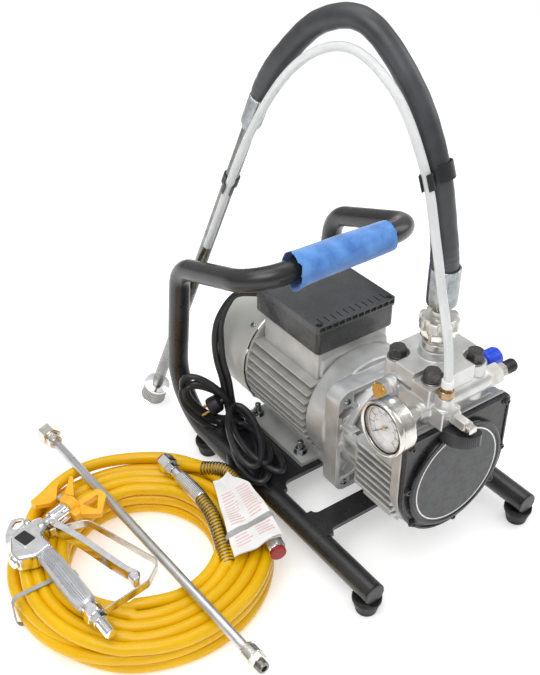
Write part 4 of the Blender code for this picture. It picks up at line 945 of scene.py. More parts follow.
def build_pump():
    """Finned body behind the cover, then the cover with its raised rim and disc."""
    core = [(-0.061, 0.09), (0.061, 0.09), (0.061, 0.223), (-0.061, 0.223)]
    shapes = [prism(core, "y", 0.033, 0.106),
              turned((0, 0, SHAFT_Z), TO_BACK, [(0.033, 0.064), (0.106, 0.062), (0.112, 0.057)], 96),
              prism(cover_outline(0.0012), "y", 0.0318, 0.0405)]
    for number in range(9):
        z = 0.087 + 0.01 * number
        reach = 0.0775 if number > 1 else 0.064 + 0.0065 * number
        shapes.append(prism(fin_outline(reach, 0.038, 0.11, 0.012), "z", z, z + 0.0036))
    for x in (-1, 1):
        shapes.append(prism([(x * 0.06, 0.173), (x * 0.0775, 0.173), (x * 0.0775, 0.218), (x * 0.06, 0.218)],
                            "y", 0.038, 0.07))
        shapes.append(rib((x * 0.045, 0.04, 0.081), (x * 0.073, 0.04, 0.099), 0.002, 0.05, 0.05))
    for angle in (-150, -120, -90, -60, -30):
        a = math.radians(angle)
        far = Vector((0.072 * math.cos(a), 0.04, SHAFT_Z + 0.072 * math.sin(a)))
        near = Vector((0.056 * math.cos(a), 0.04, SHAFT_Z + 0.056 * math.sin(a)))
        shapes.append(rib(near, far, 0.0018, 0.05, 0.016))
    cast_piece("pump_casting", shapes, CAST, 0.0009, replaces=["pump_housing"])
    dress("diaphragm", RUBBER)
    add("cover_plate", prism(cover_outline(), "y", 0.02, 0.0256), COVER_PLATE, replaces=["front_cover"],
        bevel=0.0009)
    add("pump_flange", prism(cover_outline(), "y", 0.0258, 0.0318), CAST, bevel=0.0009)
    rim = ring_frame(cover_outline(0.0006), cover_outline(0.0036), 0.0184, 0.0206)
    add("cover_border", rim, COVER_PLATE, bevel=0.0006)
    for number, (x, z) in enumerate(COVER_SCREWS):
        seat = [(0, 0.0056), (0.0012, 0.0056), (0.0018, 0.005)]
        add(f"cover_screw_seat_{number + 1}", turned((x, 0.0201, z), TO_FRONT, seat, 32), COVER_PLATE,
            angle=28)
        socket_screw(f"cover_screw_{number + 1}", (x, 0.0184, z), TO_FRONT, 0.0037, 0.0034, BLACK_OXIDE)
    back, face = -0.0202, -0.0135
    rim = [(back, 0.066), (back, 0.0712), (face - 0.003, 0.0712)]
    for step in range(1, 6):
        angle = math.pi / 2 * step / 5
        rim.append((face - 0.0028 + 0.0028 * math.sin(angle), 0.0684 + 0.0028 * math.cos(angle)))
    rim += [(face, 0.0662), (face - 0.0008, 0.0648), (back, 0.0646)]
    add("cover_rim", ring_solid((0, 0, COVER_AXIS_Z), TO_FRONT, rim, 160), COVER_BLACK, angle=28)
    disc = [(-0.015, 0.0649), (-0.0146, 0.0649), (-0.0142, 0.0644)]
    add("cover_disc", turned((0, 0, COVER_AXIS_Z), TO_FRONT, disc, 160), COVER_DISC, angle=28)
    line = [(-0.01425, 0.0609), (-0.01425, 0.0625), (-0.01405, 0.0625), (-0.01405, 0.0609)]
    add("cover_ring_line", ring_solid((0, 0, COVER_AXIS_Z), TO_FRONT, line, 160), PRINT_SILVER)


# ---------------------------------------------------------------- pump head and its fittings
def head_outline(clear):
    """Plan of the raised plate: a cross whose inner corners are rounded out round the four bolts."""
    half_x, front, back = 0.0475, 0.0258, 0.1082
    points = []
    for x, y, start in ((0.032, 0.094, 270), (-0.032, 0.094, 360), (-0.032, 0.039, 90), (0.032, 0.039, 180)):
        arc = []
        for step in range(9):
            angle = math.radians(start - 90 * step / 8)
            arc.append((x + clear * math.cos(angle), y + clear * math.sin(angle)))
        edge_x, edge_y = math.copysign(half_x, x), back if y > 0.067 else front
        if start in (270, 90):
            points += [(edge_x, arc[0][1]), *arc, (arc[-1][0], edge_y)]
        else:
            points += [(arc[0][0], edge_y), *arc, (edge_x, arc[-1][1])]
    return points


def build_head():
    """Head block with a raised cross-shaped plate, a round or square pad under each bolt, and its bosses."""
    shapes = [prism(head_outline(0.013), "z", 0.264, 0.2838),
              slab(0.042, 0.0365, 0.006, (0, 0.0685), 0.224, 0.27),
              slab(0.015, 0.0142, 0.0025, (-0.0335, 0.0396), 0.25, 0.2768),
              turned((*SUCTION_XY, 0.27), UP, [(0, 0.02), (0.022, 0.019), (0.024, 0.0184)], 64),
              slab(0.0132, 0.0205, 0.0016, (-0.031, 0.0265), 0.233, 0.257),
              slab(0.0068, 0.019, 0.0016, (-0.043, 0.051), 0.236, 0.2612),
              turned((-0.03, 0.034, 0.251), TO_RIGHT, [(0, 0.0135), (0.064, 0.0135), (0.075, 0.013)], 64),
              turned((-0.04, *GAUGE_YZ), TO_LEFT,
                     [(0, 0.0118), (0.006, 0.0104), (0.01, 0.0094), (0.0163, 0.009)], 48),
              turned((-0.035, 0.082, 0.25), TO_LEFT, [(0, 0.0142), (0.019, 0.0136), (0.0213, 0.013)], 64),
              turned((0.035, 0.063, 0.2415), TO_RIGHT, [(0, 0.01), (0.041, 0.008)], 48),
              turned((-0.0315, 0.017, 0.25), UP,
                     [(0, 0.0126), (0.007, 0.0112), (0.011, 0.0098), (0.019, 0.0093)], 48),
              turned((-0.026, 0.012, 0.245), TO_FRONT, [(0, 0.0105), (0.0056, 0.01)], 48)]
    for x, y in HEAD_BOLTS[1:]:
        shapes.append(turned((x, y, 0.23), UP, [(0, 0.0132), (0.0468, 0.0132)], 48))
    cast_piece("head_casting", shapes, HEAD_ALLOY, 0.00075, replaces=["pump_head"], soften=2)
    for number, (x, y) in enumerate(HEAD_BOLTS):
        seat = Vector((x, y, HEAD_SEAT_Z + 0.0004))
        washer = [(0, 0.0116), (0.0005, 0.0119), (0.0018, 0.0119), (0.0022, 0.0115)]
        add(f"head_washer_{number + 1}", turned(seat, UP, washer, 56), DARK_PLATED, angle=24)
        collar = [(0, 0.01), (0.0014, 0.01), (0.002, 0.0092)]
        bolt = joined([turned(seat + Vector((0, 0, 0.002)), UP, collar, 48),
                       hex_head(seat + Vector((0, 0, 0.0038)), UP, 0.0086, 0.0104,
                                turn=0.25 + 0.45 * number)])
        add(f"head_bolt_{number + 1}_skin", bolt, BLACK_OXIDE, replaces=[f"head_bolt_{number + 1}"], angle=20)
    port = [(0, 0.016), (0.0004, 0.0165), (0.0076, 0.0165), (0.008, 0.016), (0.0082, 0.015), (0.0113, 0.015),
            (0.0115, 0.0147)]
    add("suction_port_skin", turned((*SUCTION_XY, 0.2943), UP, port, 64), NICKEL_SATIN,
        replaces=["suction_port"], angle=26)
    build_plug_and_outlet()
    build_controls()
    build_gauge()


def build_plug_and_outlet():
    start = Vector((-0.0563, 0.082, 0.25))
    washer = ring_solid(start, TO_LEFT,
                        [(0, 0.006), (0, 0.0128), (0.0003, 0.0131), (0.0013, 0.0131), (0.0016, 0.0128),
                         (0.0016, 0.006)], 56)
    body = hex_head(start + Vector((-0.0015, 0, 0)), TO_LEFT, 0.0106, 0.008, turn=HEX_TURN)
    add("valve_plug_skin", joined([washer, body]), NICKEL_SATIN, replaces=["valve_plug"], angle=20)
    face = hex_head(start + Vector((-0.009, 0, 0)), TO_LEFT, 0.0108, 0.0028, turn=HEX_TURN)
    add("valve_plug_face", face, BRASS, angle=20)

    start = Vector((0.0453, 0.035, 0.247))
    body = joined([ring_solid(start, TO_RIGHT,
                              [(0, 0.005), (0, 0.0124), (0.0003, 0.0126), (0.0014, 0.0126), (0.0017, 0.0124),
                               (0.0017, 0.005)], 56),
                   hex_head(start + Vector((0.0016, 0, 0)), TO_RIGHT, 0.0118, 0.0204, turn=HEX_TURN),
                   turned(start + Vector((0.0215, 0, 0)), TO_RIGHT, [(0, 0.007), (0.0024, 0.007)], 40),
                   hex_head(start + Vector((0.0234, 0, 0)), TO_RIGHT, 0.008, 0.0096, turn=0.1),
                   thread(start + Vector((0.0325, 0, 0)), TO_RIGHT, 0.0063, 0.0138, 0.0014)])
    add("outlet_body_skin", body, NICKEL_SATIN, replaces=["outlet_valve_body"], angle=20)
    rings = []
    for number in range(5):
        at = 0.003 + 0.0022 * number
        rings += [(at, 0.0081), (at + 0.0003, 0.0077), (at + 0.0009, 0.0077), (at + 0.0012, 0.0081)]
    stations = [(0, 0.0064), (0, 0.0074), (0.0002, 0.0079), (0.0008, 0.0082)] + rings
    stations += [(0.014, 0.0079), (0.0156, 0.0074), (0.0163, 0.0062)]
    hollow = [(0.013, 0.006), (0.0125, 0.0065)]
    cap = turned((0.079, 0.035, 0.247), TO_RIGHT, hollow + stations, 56)
    add("outlet_cap_skin", cap, BLACK_PLASTIC, "outlet_cap", replaces=["outlet_cap"], angle=26)


def knob_shape(start, length, radius, lobes):
    """Fluted grip, deeper in the middle than at its rounded ends."""
    levels = [(0, 0.86, 0), (0.03, 0.93, 0.3), (0.09, 0.985, 0.9), (0.16, 1, 1), (0.84, 0.985, 1),
              (0.92, 0.96, 0.9), (0.97, 0.91, 0.3), (1.0, 0.84, 0)]

    def fluted(number, angle):
        size, depth = levels[number][1:]
        return radius * size * (1 - 0.13 * depth * max(0.0, -math.cos(angle * lobes)) ** 0.8)

    return around_axis(start, TO_RIGHT, [level[0] * length for level in levels], fluted, 168)


def build_controls():
    centre = Vector((0.0765, 0.063, 0.2415))
    add("pressure_knob_skin", knob_shape(centre, 0.0215, 0.0124, 8), BLUE_KNOB, "pressure_knob",
        replaces=["pressure_knob"], angle=40)
    socket_screw("pressure_knob_screw", centre + Vector((0.0211, 0, 0)), TO_RIGHT, 0.0032, 0.0016,
                 BLACK_OXIDE, "pressure_knob")
    pointer = block((0.097, 0.0626, 0.248), (0.0983, 0.0634, 0.251))
    add("pressure_knob_mark", pointer, WHITE_PLASTIC, "pressure_knob")

    start = Vector((-0.026, 0.0062, 0.245))
    stem = joined([turned(start + Vector((0, 0.0015, 0)), TO_FRONT,
                          [(0, 0.0092), (0.0025, 0.009), (0.003, 0.0084)], 48),
                   hex_head(start, TO_FRONT, 0.007, 0.0205, turn=HEX_TURN)])
    add("relief_stem_skin", stem, NICKEL_SATIN, replaces=["relief_valve_stem"], angle=20)
    blade = prism(rounded_rectangle(0.0054, 0.0036, 0.0012, (start.x, start.z)), "y", -0.022, -0.013)
    add("relief_stem_end", blade, STEEL, bevel=0.0005)
    build_lever()
    start = Vector((-0.0315, 0.017, 0.2693))
    fitting = joined([turned(start + Vector((0, 0, -0.001)), UP, [(0, 0.008), (0.0022, 0.008)], 48),
                      hex_head(start + Vector((0, 0, 0.0008)), UP, 0.0078, 0.0082, turn=0.2),
                      thread(start + Vector((0, 0, 0.0086)), UP, 0.0066, 0.004, 0.0012)])
    add("return_fitting_skin", fitting, BRONZE, replaces=["return_fitting"], angle=20)


def lever_outline(inset=0.0, knurl=0.0):
    """Plan of the relief lever: a broad knurled rim round a narrow end over the stem."""
    points = []
    arc = 60
    for step in range(arc + 1):
        angle = math.radians(158 + (262 - 158) * step / arc)
        r = 0.0262 - inset + knurl * (0.5 + 0.5 * math.cos(step * math.pi * 2 / 3))
        points.append((-0.0178 + r * math.cos(angle), 0.0006 + r * math.sin(angle)))
    for step in range(17):
        angle = math.radians(262 + (380 - 262) * step / 16)
        r = 0.007 - inset
        points.append((-0.018 + r * math.cos(angle), -0.0185 + r * math.sin(angle)))
    points.append((-0.026 - inset * 0.3, 0.0052 - inset))
    return points


def build_lever():
    body = prism(lever_outline(knurl=-0.0006), "z", 0.221, 0.2375)
    pin = cylinder((-0.018, -0.0165, 0.215), (-0.018, -0.0165, 0.245), 0.0017, 24)
    add("relief_lever_skin", body, BLACK_PLASTIC, "relief_lever", replaces=["relief_lever"], cuts=[pin],
        bevel=0.0007)
    rod = [(0, 0.0015), (0.0003, 0.0017), (0.015, 0.0017), (0.0153, 0.0015)]
    add("relief_lever_pin", turned((-0.018, -0.0165, 0.2215), UP, rod, 24), STEEL, "relief_lever", angle=28)


# ---------------------------------------------------------------- pressure gauge
def gauge_point(radius, angle, x):
    """On the dial, angle is clockwise from straight up as seen from the front, which is the -x side."""
    return Vector((x, GAUGE_YZ[0] - radius * math.sin(angle), GAUGE_YZ[1] + radius * math.cos(angle)))


def build_gauge():
    axis = (GAUGE_BACK_X, *GAUGE_YZ)
    depth = GAUGE_BACK_X - GAUGE_FACE_X
    case = [(0, 0.007), (0, 0.029), (0.0008, 0.0305), (0.0022, 0.0312), (0.004, 0.0314),
            (depth - 0.0078, 0.0314), (depth - 0.0074, 0.0319), (depth - 0.0068, 0.0324),
            (depth - 0.0045, 0.0325), (depth - 0.0012, 0.0325), (depth - 0.0004, 0.0321), (depth, 0.0312),
            (depth - 0.0004, 0.03), (depth - 0.0014, 0.0287), (depth - 0.0022, 0.0281),
            (depth - 0.0075, 0.0278), (depth - 0.0075, 0.007)]
    add("gauge_case_skin", ring_solid(axis, TO_LEFT, case, 128), GAUGE_STEEL, replaces=["gauge_case"],
        angle=40)
    stem = joined([turned((-0.0563, *GAUGE_YZ), TO_LEFT, [(0, 0.0068), (0.006, 0.0068)], 40),
                   hex_head((-0.061, *GAUGE_YZ), TO_LEFT, 0.0085, 0.012, turn=HEX_TURN),
                   turned((-0.072, *GAUGE_YZ), TO_LEFT, [(0, 0.0105), (0.01, 0.0125)], 48)])
    add("gauge_stem_skin", stem, NICKEL_SATIN, angle=26)
    dial_x = GAUGE_FACE_X + 0.0066
    add("gauge_dial", turned((dial_x + 0.0008, *GAUGE_YZ), TO_LEFT, [(0, 0.0276), (0.0008, 0.0276)], 96),
        DIAL, angle=28)
    build_dial_marks(dial_x)
    lens_x = GAUGE_FACE_X + 0.0024
    lens = [(0, 0.0279), (0.001, 0.0279), (0.0012, 0.0274)]
    add("gauge_lens_skin", turned((lens_x + 0.0012, *GAUGE_YZ), TO_LEFT, lens, 96), GLASS,
        replaces=["gauge_lens"], angle=28)
    bezel_inner = [(0, 0.0281), (0, 0.0266), (0.0006, 0.0266), (0.001, 0.0281)]
    add("gauge_lens_seal", ring_solid((GAUGE_FACE_X + 0.0026, *GAUGE_YZ), TO_LEFT, bezel_inner, 96), RUBBER,
        angle=28)
    blow_out = turned((-0.093, GAUGE_YZ[0], GAUGE_YZ[1] + 0.0306), UP,
                      [(0, 0.0036), (0.0016, 0.0036), (0.0022, 0.0031), (0.0023, 0.0016)], 36)
    add("gauge_vent_plug", blow_out, WHITE_PLASTIC, angle=28)
    build_needle(dial_x)


def build_dial_marks(dial_x):
    """Two scales of tick lines with generic numbers, on a dial that sweeps three quarters of a turn."""
    sweep_start, sweep_end = -DIAL_HALF_SWEEP, DIAL_HALF_SWEEP
    lift = dial_x - 0.0002
    ticks = []
    for number in range(41):
        angle = sweep_start + (sweep_end - sweep_start) * number / 40
        inner, width = (0.0208, 0.00042) if number % 5 == 0 else (0.0226, 0.0002)
        mark = prism([(-width, inner), (width, inner), (width, 0.0246), (-width, 0.0246)], "x", 0, 0.00015)
        mark.transform(Matrix.Translation((lift, *GAUGE_YZ)) @ Matrix.Rotation(angle, 4, "X"))
        ticks.append(mark)
    add("gauge_ticks", joined(ticks), INK)
    arcs = []
    for radius, width in ((0.0247, 0.00022), (0.0165, 0.00016)):
        outer, inner = [], []
        for step in range(73):
            angle = sweep_start + (sweep_end - sweep_start) * step / 72
            outer.append((-(radius + width) * math.sin(angle), (radius + width) * math.cos(angle)))
            inner.append((-(radius - width) * math.sin(angle), (radius - width) * math.cos(angle)))
        arc = prism(outer + inner[::-1], "x", 0, 0.00015)
        arc.transform(Matrix.Translation((lift, *GAUGE_YZ)))
        arcs.append(arc)
    add("gauge_scale_lines", joined(arcs), INK)
    for number in range(9):
        angle = sweep_start + (sweep_end - sweep_start) * number / 8
        add_number(f"gauge_number_{number}", str(50 * number), gauge_point(0.0186, angle, lift + 0.00015),
                   0.003)
    for number in range(4):
        angle = sweep_start + (sweep_end - sweep_start) * (number + 1) / 5
        add_number(f"gauge_inner_number_{number}", str(10 * (number + 1)),
                   gauge_point(0.0135, angle, lift + 0.00015), 0.002)


def add_number(name, text, place, size):
    """A printed number as solid strokes, facing the reader at -x."""
    curve = bpy.data.curves.new(name, "FONT")
    curve.body = text
    curve.size = size
    curve.align_x = "CENTER"
    curve.align_y = "CENTER"
    curve.extrude = 0.0001
    source = bpy.data.objects.new("number", curve)
    bpy.context.scene.collection.objects.link(source)
    bpy.context.view_layer.update()
    mesh = bpy.data.meshes.new_from_object(source)
    shape = bmesh.new()
    shape.from_mesh(mesh)
    bpy.data.objects.remove(source)
    bpy.data.meshes.remove(mesh)
    toward_reader = Matrix(((0, 0, -1), TO_LEFT, TO_BACK)).to_4x4()
    shape.transform(Matrix.Translation(place) @ toward_reader)
    add(name, shape, INK)


def build_needle(dial_x):
    angle = -DIAL_HALF_SWEEP
    outline = [(-0.0009, -0.0075), (0.0009, -0.0075), (0.0011, 0), (0.0003, 0.0222), (-0.0003, 0.0222),
               (-0.0011, 0)]
    needle = prism(outline, "x", -0.0004, 0.0004)
    spin = Matrix.Translation((dial_x - 0.0016, *GAUGE_YZ)) @ Matrix.Rotation(angle, 4, "X")
    needle.transform(spin)
    add("needle_skin", needle, INK, "gauge_needle", replaces=["gauge_needle"], bevel=0.00012)
    hub = [(0, 0.0028), (0.0014, 0.0028), (0.002, 0.0022), (0.0021, 0.001)]
    add("needle_hub", turned((dial_x - 0.0008, *GAUGE_YZ), TO_LEFT, hub, 40), BRASS, "gauge_needle", angle=28)


# ---------------------------------------------------------------- suction hose, pipe and return tube
HEADING = Vector((-0.285, 0.959, 0)).normalized()
LEFT = Vector((-HEADING.y, HEADING.x, 0))
LEAN = math.radians(22.3)
PIPE_TOP = Vector((*SUCTION_XY, 0.478)) + HEADING * 0.262
PIPE_DOWN = HEADING * math.sin(LEAN) - Vector(UP) * math.cos(LEAN)
SUCTION = "suction_set"


def arch_point(along, height, aside=0.0):
    return Vector((*SUCTION_XY, height)) + HEADING * along + LEFT * aside


def on_pipe(distance):
    return PIPE_TOP + PIPE_DOWN * distance


def build_suction():
    build_union()
    points = [arch_point(0.0012, 0.388), arch_point(0.0022, 0.402)]
    middle = [(0.0062, 0.43), (0.0225, 0.502), (0.0555, 0.571), (0.111, 0.6245), (0.166, 0.6165),
              (0.213, 0.572)]
    points += [arch_point(a, h) for a, h in middle] + [on_pipe(-0.06), on_pipe(-0.044)]
    path = smooth_path(points, 22)
    count = len(path)

    def hose_size(i):
        share = i / (count - 1)
        size = 0.0154 - 0.0029 * min(1.0, max(0.0, (share - 0.1) / 0.35))
        size -= 0.0022 * min(1.0, max(0.0, (share - 0.84) / 0.16))
        return size + 0.0001 * math.sin(i * 0.9)

    add("suction_hose_skin", sweep(path, hose_size, 64), HOSE_RUBBER, SUCTION, replaces=["suction_hose"])
    top = Vector((*SUCTION_XY, 0.334))
    crimp = [(0, 0.0078), (0.0095, 0.008), (0.012, 0.0095), (0.0135, 0.0145), (0.015, 0.0162),
             (0.018, 0.0168)]
    crimp += [(0.026, 0.017), (0.05, 0.0172), (0.056, 0.0172), (0.059, 0.017), (0.0596, 0.0164),
              (0.0596, 0.015), (0.056, 0.0148)]
    add("ferrule_top_skin", flatted(top, UP, crimp, 12, 0.00035), ZINC, SUCTION,
        replaces=["hose_ferrule_top"], angle=28)
    lower = [(0, 0.0104), (0.0004, 0.0116), (0.001, 0.0122), (0.033, 0.0122), (0.0365, 0.0116),
             (0.0395, 0.01), (0.043, 0.009)]
    add("ferrule_bottom_skin", flatted(on_pipe(-0.0457), PIPE_DOWN, lower, 10, 0.00035), ZINC, SUCTION,
        replaces=["hose_ferrule_bottom"], angle=28)
    pipe = [(0, 0.0078), (0.0006, 0.008), (0.4774, 0.008), (0.478, 0.0078)]
    add("suction_pipe_skin", turned(on_pipe(-0.0024), PIPE_DOWN, pipe, 48), PIPE_GREY, SUCTION,
        replaces=["suction_pipe"], angle=40)
    build_strainer()
    build_clips(path, build_return_tube())


def build_union():
    """Union nut: a hexagon with slanting faces below and a wider crown of eight lobes above."""
    start = Vector((*SUCTION_XY, 0.3062))
    lower = [(0, 0.0166, 6, 0.0176), (0.001, 0.0172, 6, 0.019), (0.0085, 0.0172, 6, 0.019),
             (0.01, 0.0166, 6, 0.018), (0.0125, 0.016)]
    crown = [(0.0115, 0.0168, 0.0172), (0.013, 0.0186, 0.0205), (0.014, 0.019, 0.0222),
             (0.0252, 0.019, 0.0222), (0.0262, 0.0187, 0.0215), (0.0268, 0.018, 0.0195),
             (0.0268, 0.012, 0.012)]
    add("union_nut_skin", turned(start, UP, lower, 96, 0.3), NICKEL, SUCTION, replaces=["union_nut"],
        angle=22)
    add("union_crown", lobed(start, UP, crown, 8, 0.1), NICKEL_SATIN, SUCTION, angle=28)
    collar = [(0, 0.0112), (0.003, 0.0108), (0.0034, 0.0098), (0.008, 0.0092)]
    add("union_collar", turned(start + Vector((0, 0, 0.0262)), UP, collar, 64), NICKEL_SATIN, SUCTION,
        angle=28)


def build_strainer():
    base = on_pipe(0.4759)
    cup = [(0, 0.011), (0.0004, 0.0125), (0.0018, 0.0182), (0.0024, 0.0186), (0.006, 0.0186), (0.0066, 0.018),
           (0.0072, 0.0168)]
    add("strainer_cap", turned(base, PIPE_DOWN, cup, 72), CHROME, SUCTION, angle=28)
    rows, wires = 34, 108

    def woven(row, angle):
        wire = round(angle / (2 * math.pi) * wires)
        return 0.0171 + 0.00028 * ((wire + row) % 2)

    levels = [0.007 + 0.0232 * row / rows for row in range(rows + 1)]
    screen = around_axis(base, PIPE_DOWN, levels, woven, wires)
    add("strainer_screen", screen, STRAINER, SUCTION, replaces=["suction_strainer"], angle=15)
    foot = [(0, 0.0176), (0.0004, 0.0181), (0.0014, 0.0181), (0.0019, 0.017), (0.0022, 0.015),
            (0.0018, 0.006)]
    add("strainer_foot", turned(base + PIPE_DOWN * 0.0297, PIPE_DOWN, foot, 72), CHROME, SUCTION, angle=28)


def build_return_tube():
    start = Vector((-0.0315, 0.017, 0.28))
    points = [start, start + Vector((0, 0, 0.0143)), arch_point(-0.033, 0.335, 0.0415)]
    middle = [(-0.0165, 0.3825, 0.034), (0, 0.433, 0.027), (0.023, 0.502, 0.0215), (0.064, 0.572, 0.02),
              (0.122, 0.6035, 0.019), (0.187, 0.57, 0.017), (0.25, 0.477, 0.015), (0.319, 0.315, 0.015)]
    points += [arch_point(*p) for p in middle]
    path = smooth_path(points, 20)
    tube = sweep(path, 0.005, 32)
    shape = add("return_tube_skin", tube, MILKY, None, carry="blend")
    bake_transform(shape)
    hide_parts("return_tube")
    collar = [(0, 0.006), (0.0004, 0.0066), (0.009, 0.0066), (0.0096, 0.006)]
    add("tube_collar", turned((-0.0315, 0.017, 0.2815), UP, collar, 40), WHITE_PLASTIC, angle=28)
    return path


def at_height(path, height, from_end=False):
    """Point where a path first passes a height, from its start or from its end."""
    path = path[::-1] if from_end else path
    for a, b in zip(path, path[1:]):
        if (a.z - height) * (b.z - height) <= 0:
            return a.lerp(b, (height - a.z) / (b.z - a.z))
    return path[-1]


def open_sleeve(centre, direction, facing, side, inner, wall, length):
    """A band round most of a tube, with flared lips beside its gap."""
    rings = []
    steps = 40
    for step in range(steps + 1):
        share = step / steps
        angle = math.radians(-150 + 300 * share) + math.pi / 2
        flare = 0.0016 * max(0.0, abs(share - 0.5) * 2 - 0.9) / 0.1
        out = facing * math.sin(angle) * -1 + side * math.cos(angle)
        low, high = inner + flare, inner + wall + flare
        section = [(low, -length / 2), (high, -length / 2), (high, length / 2), (low, length / 2)]
        rings.append([centre + out * r + direction * d for r, d in section])
    return loft(rings)


def build_clip(name, first, first_r, second, second_r, direction, length=0.017):
    """Two open sleeves back to back, one round each of two nearly parallel tubes."""
    wall = 0.002
    across = (second - first - direction * (second - first).dot(direction)).normalized()
    side = direction.cross(across).normalized()
    shapes = [open_sleeve(first, direction, across, side, first_r, wall, length),
              open_sleeve(second, direction, across, side, second_r, wall, length)]
    rings = []
    for point in (first + across * (first_r + 0.0008), second - across * (second_r + 0.0008)):
        rings.append([point + side * s * 0.0026 + direction * a * length * 0.45 for s,
                      a in ((1, 1), (-1, 1), (-1, -1), (1, -1))])
    shapes.append(loft(rings))
    add(f"{name}_skin", joined(shapes), BLACK_PLASTIC, SUCTION, replaces=["tube_" + name], angle=28,
        bevel=0.0004)


def build_clips(hose, tube):
    hose_at = at_height(hose, 0.495)
    direction = (at_height(hose, 0.505) - hose_at).normalized()
    build_clip("clip_upper", hose_at, 0.0149, at_height(tube, 0.492), 0.0052, direction)
    tube_at = at_height(tube, 0.4055, from_end=True)
    pipe_at = on_pipe((tube_at - on_pipe(0)).dot(PIPE_DOWN))
    build_clip("clip_lower", pipe_at, 0.0081, tube_at, 0.0052, PIPE_DOWN, 0.013)


# ---------------------------------------------------------------- power cable
def build_cable():
    """The lead comes over the cowl, hangs down beside it and ends in a tied bundle of slack turns."""
    lead = [(-0.05, 0.33, 0.246), (-0.07, 0.35, 0.243), (-0.081, 0.356, 0.236), (-0.093, 0.36, 0.219),
            (-0.101, 0.362, 0.2), (-0.106, 0.36, 0.176), (-0.106, 0.356, 0.148), (-0.103, 0.349, 0.12),
            (-0.102, 0.343, 0.088), (-0.1005, 0.335, 0.056)]
    strands = [sweep(smooth_path(lead, 12), 0.0042, 24)]
    second = [Vector(p) + Vector((0.007, -0.005, -0.002)) * min(1.0, i / 3) for i, p in enumerate(lead[2:])]
    strands.append(sweep(smooth_path(second, 12), 0.0042, 24))
    random.seed(11)
    upper = ((-0.119, 0.353, 0.083), (-0.53, 0.46, 0.71), (-0.65, 0.29, -0.7), 0.046, 0.0205)
    strands += [cable_loop(*upper, number) for number in range(4)]
    for number, (degrees,
                 reach) in enumerate(((211, 0.06), (198, 0.064), (189, 0.066), (196, 0.056), (205, 0.063))):
        away = Vector((math.sin(math.radians(degrees)), math.cos(math.radians(degrees)), 0))
        centre = Vector((-0.093, 0.328, 0.056 + 0.0035 * number)) + away * reach
        strands.append(cable_loop(centre, away, (-away.y, away.x, 0), reach, 0.0185, number))
    add("power_cable_strands", joined(strands), CABLE, replaces=["power_cable"], angle=60)
    tie = [(-0.009, 0.0126), (-0.009, 0.0136), (0.009, 0.0136), (0.009, 0.0126)]
    add("cable_tie_band", ring_solid((-0.0985, 0.333, 0.058), (0.15, -0.85, -0.45), tie, 40), RUBBER,
        angle=28)
    start, away = Vector((-0.109, 0.347, 0.086)), Vector((-0.8, 0.37, -0.48)).normalized()
    plug = joined([turned(start - away * 0.01, away, [(0, 0.0046), (0.008, 0.0056), (0.01, 0.01)], 40),
                   turned(start, away,
                          [(0, 0.01), (0.002, 0.0122), (0.012, 0.0128), (0.016, 0.012), (0.017, 0.011)], 48)])
    add("mains_plug", plug, CABLE, angle=28)
    across = away.cross(Vector(UP)).normalized()
    for number, side in enumerate((-1, 1)):
        pin = [(0, 0.002), (0.012, 0.002), (0.0135, 0.0012)]
        add(f"mains_plug_pin_{number + 1}",
            turned(start + away * 0.0165 + across * side * 0.007, away, pin, 24), BRASS, angle=28)


def cable_loop(centre, first, other, reach, width, number):
    """One slack turn of the bundled cable; every turn differs a little."""
    centre = Vector(centre) + Vector((random.uniform(-0.006, 0.006), random.uniform(-0.004, 0.004),
                                      0.0055 * (number - 1.5) * (0.4 if other[2] > 0.5 else 1.0)))
    first, other = Vector(first).normalized(), Vector(other).normalized()
    normal = first.cross(other).normalized()
    grow = 1 + random.uniform(-0.1, 0.08)
    lean = random.uniform(-0.5, 0.5)
    points = []
    for step in range(14):
        angle = 2 * math.pi * step / 14
        wobble = 1 + 0.08 * math.sin(2 * angle + lean * 5)
        points.append(centre
                      + first * reach * grow * wobble * math.cos(angle)
                      + other * width * grow * wobble * math.sin(angle)
                      + normal * 0.005 * math.sin(angle + number))
    low = min(p.z for p in points)
    if low < 0.0048:
        points = [p + Vector((0, 0, 0.0048 - low)) for p in points]
    return sweep(smooth_path(points, 9, closed=True), 0.0042, 20, closed=True)


# ---------------------------------------------------------------- yellow hose and its ends
HOSE = "paint_hose"


def coil_point(turn_share, r, z):
    angle = 2 * math.pi * turn_share
    return COIL_CENTRE + Vector((r * math.cos(angle), r * math.sin(angle), z))


def coil_path():
    """One hose laid in flat spirals, layer on layer, with the slack of a hand-wound coil."""
    columns, rows, per_turn = 5, 3, 96
    inner, pitch, first = 0.095, 0.0143, 0.66
    path = []
    for row in range(rows):
        out = row % 2 == 0
        for column in range(columns):
            c = column if out else columns - 1 - column
            for step in range(per_turn):
                share = step / per_turn
                if row == rows - 1 and column == columns - 1 and share > 0.46:
                    return path
                around = 2 * math.pi * (share + first)
                stray = Vector((math.cos(around), math.sin(around), c * 0.9 + row * 1.7))
                across = 0.0024 * noise.noise(stray * 1.4)
                if row == rows - 1 and column == columns - 2:
                    across += 0.022 * max(0.0, math.cos(around - math.radians(75))) ** 2
                lift = 0.0018 * (noise.noise(stray * 1.9 + Vector((0, 0, 9))) + 0.2) * row
                last = column == columns - 1
                climb = 0.0149 * max(0.0, (share - 0.8) / 0.2) if last and row < rows - 1 else 0.0
                shift = 0.0 if last else pitch * max(0.0, (share - 0.8) / 0.2) * (1 if out else -1)
                radius = inner + pitch * c + across + shift
                path.append(coil_point(share + first, radius, 0.008 + 0.0149 * row + lift + climb))
    return path


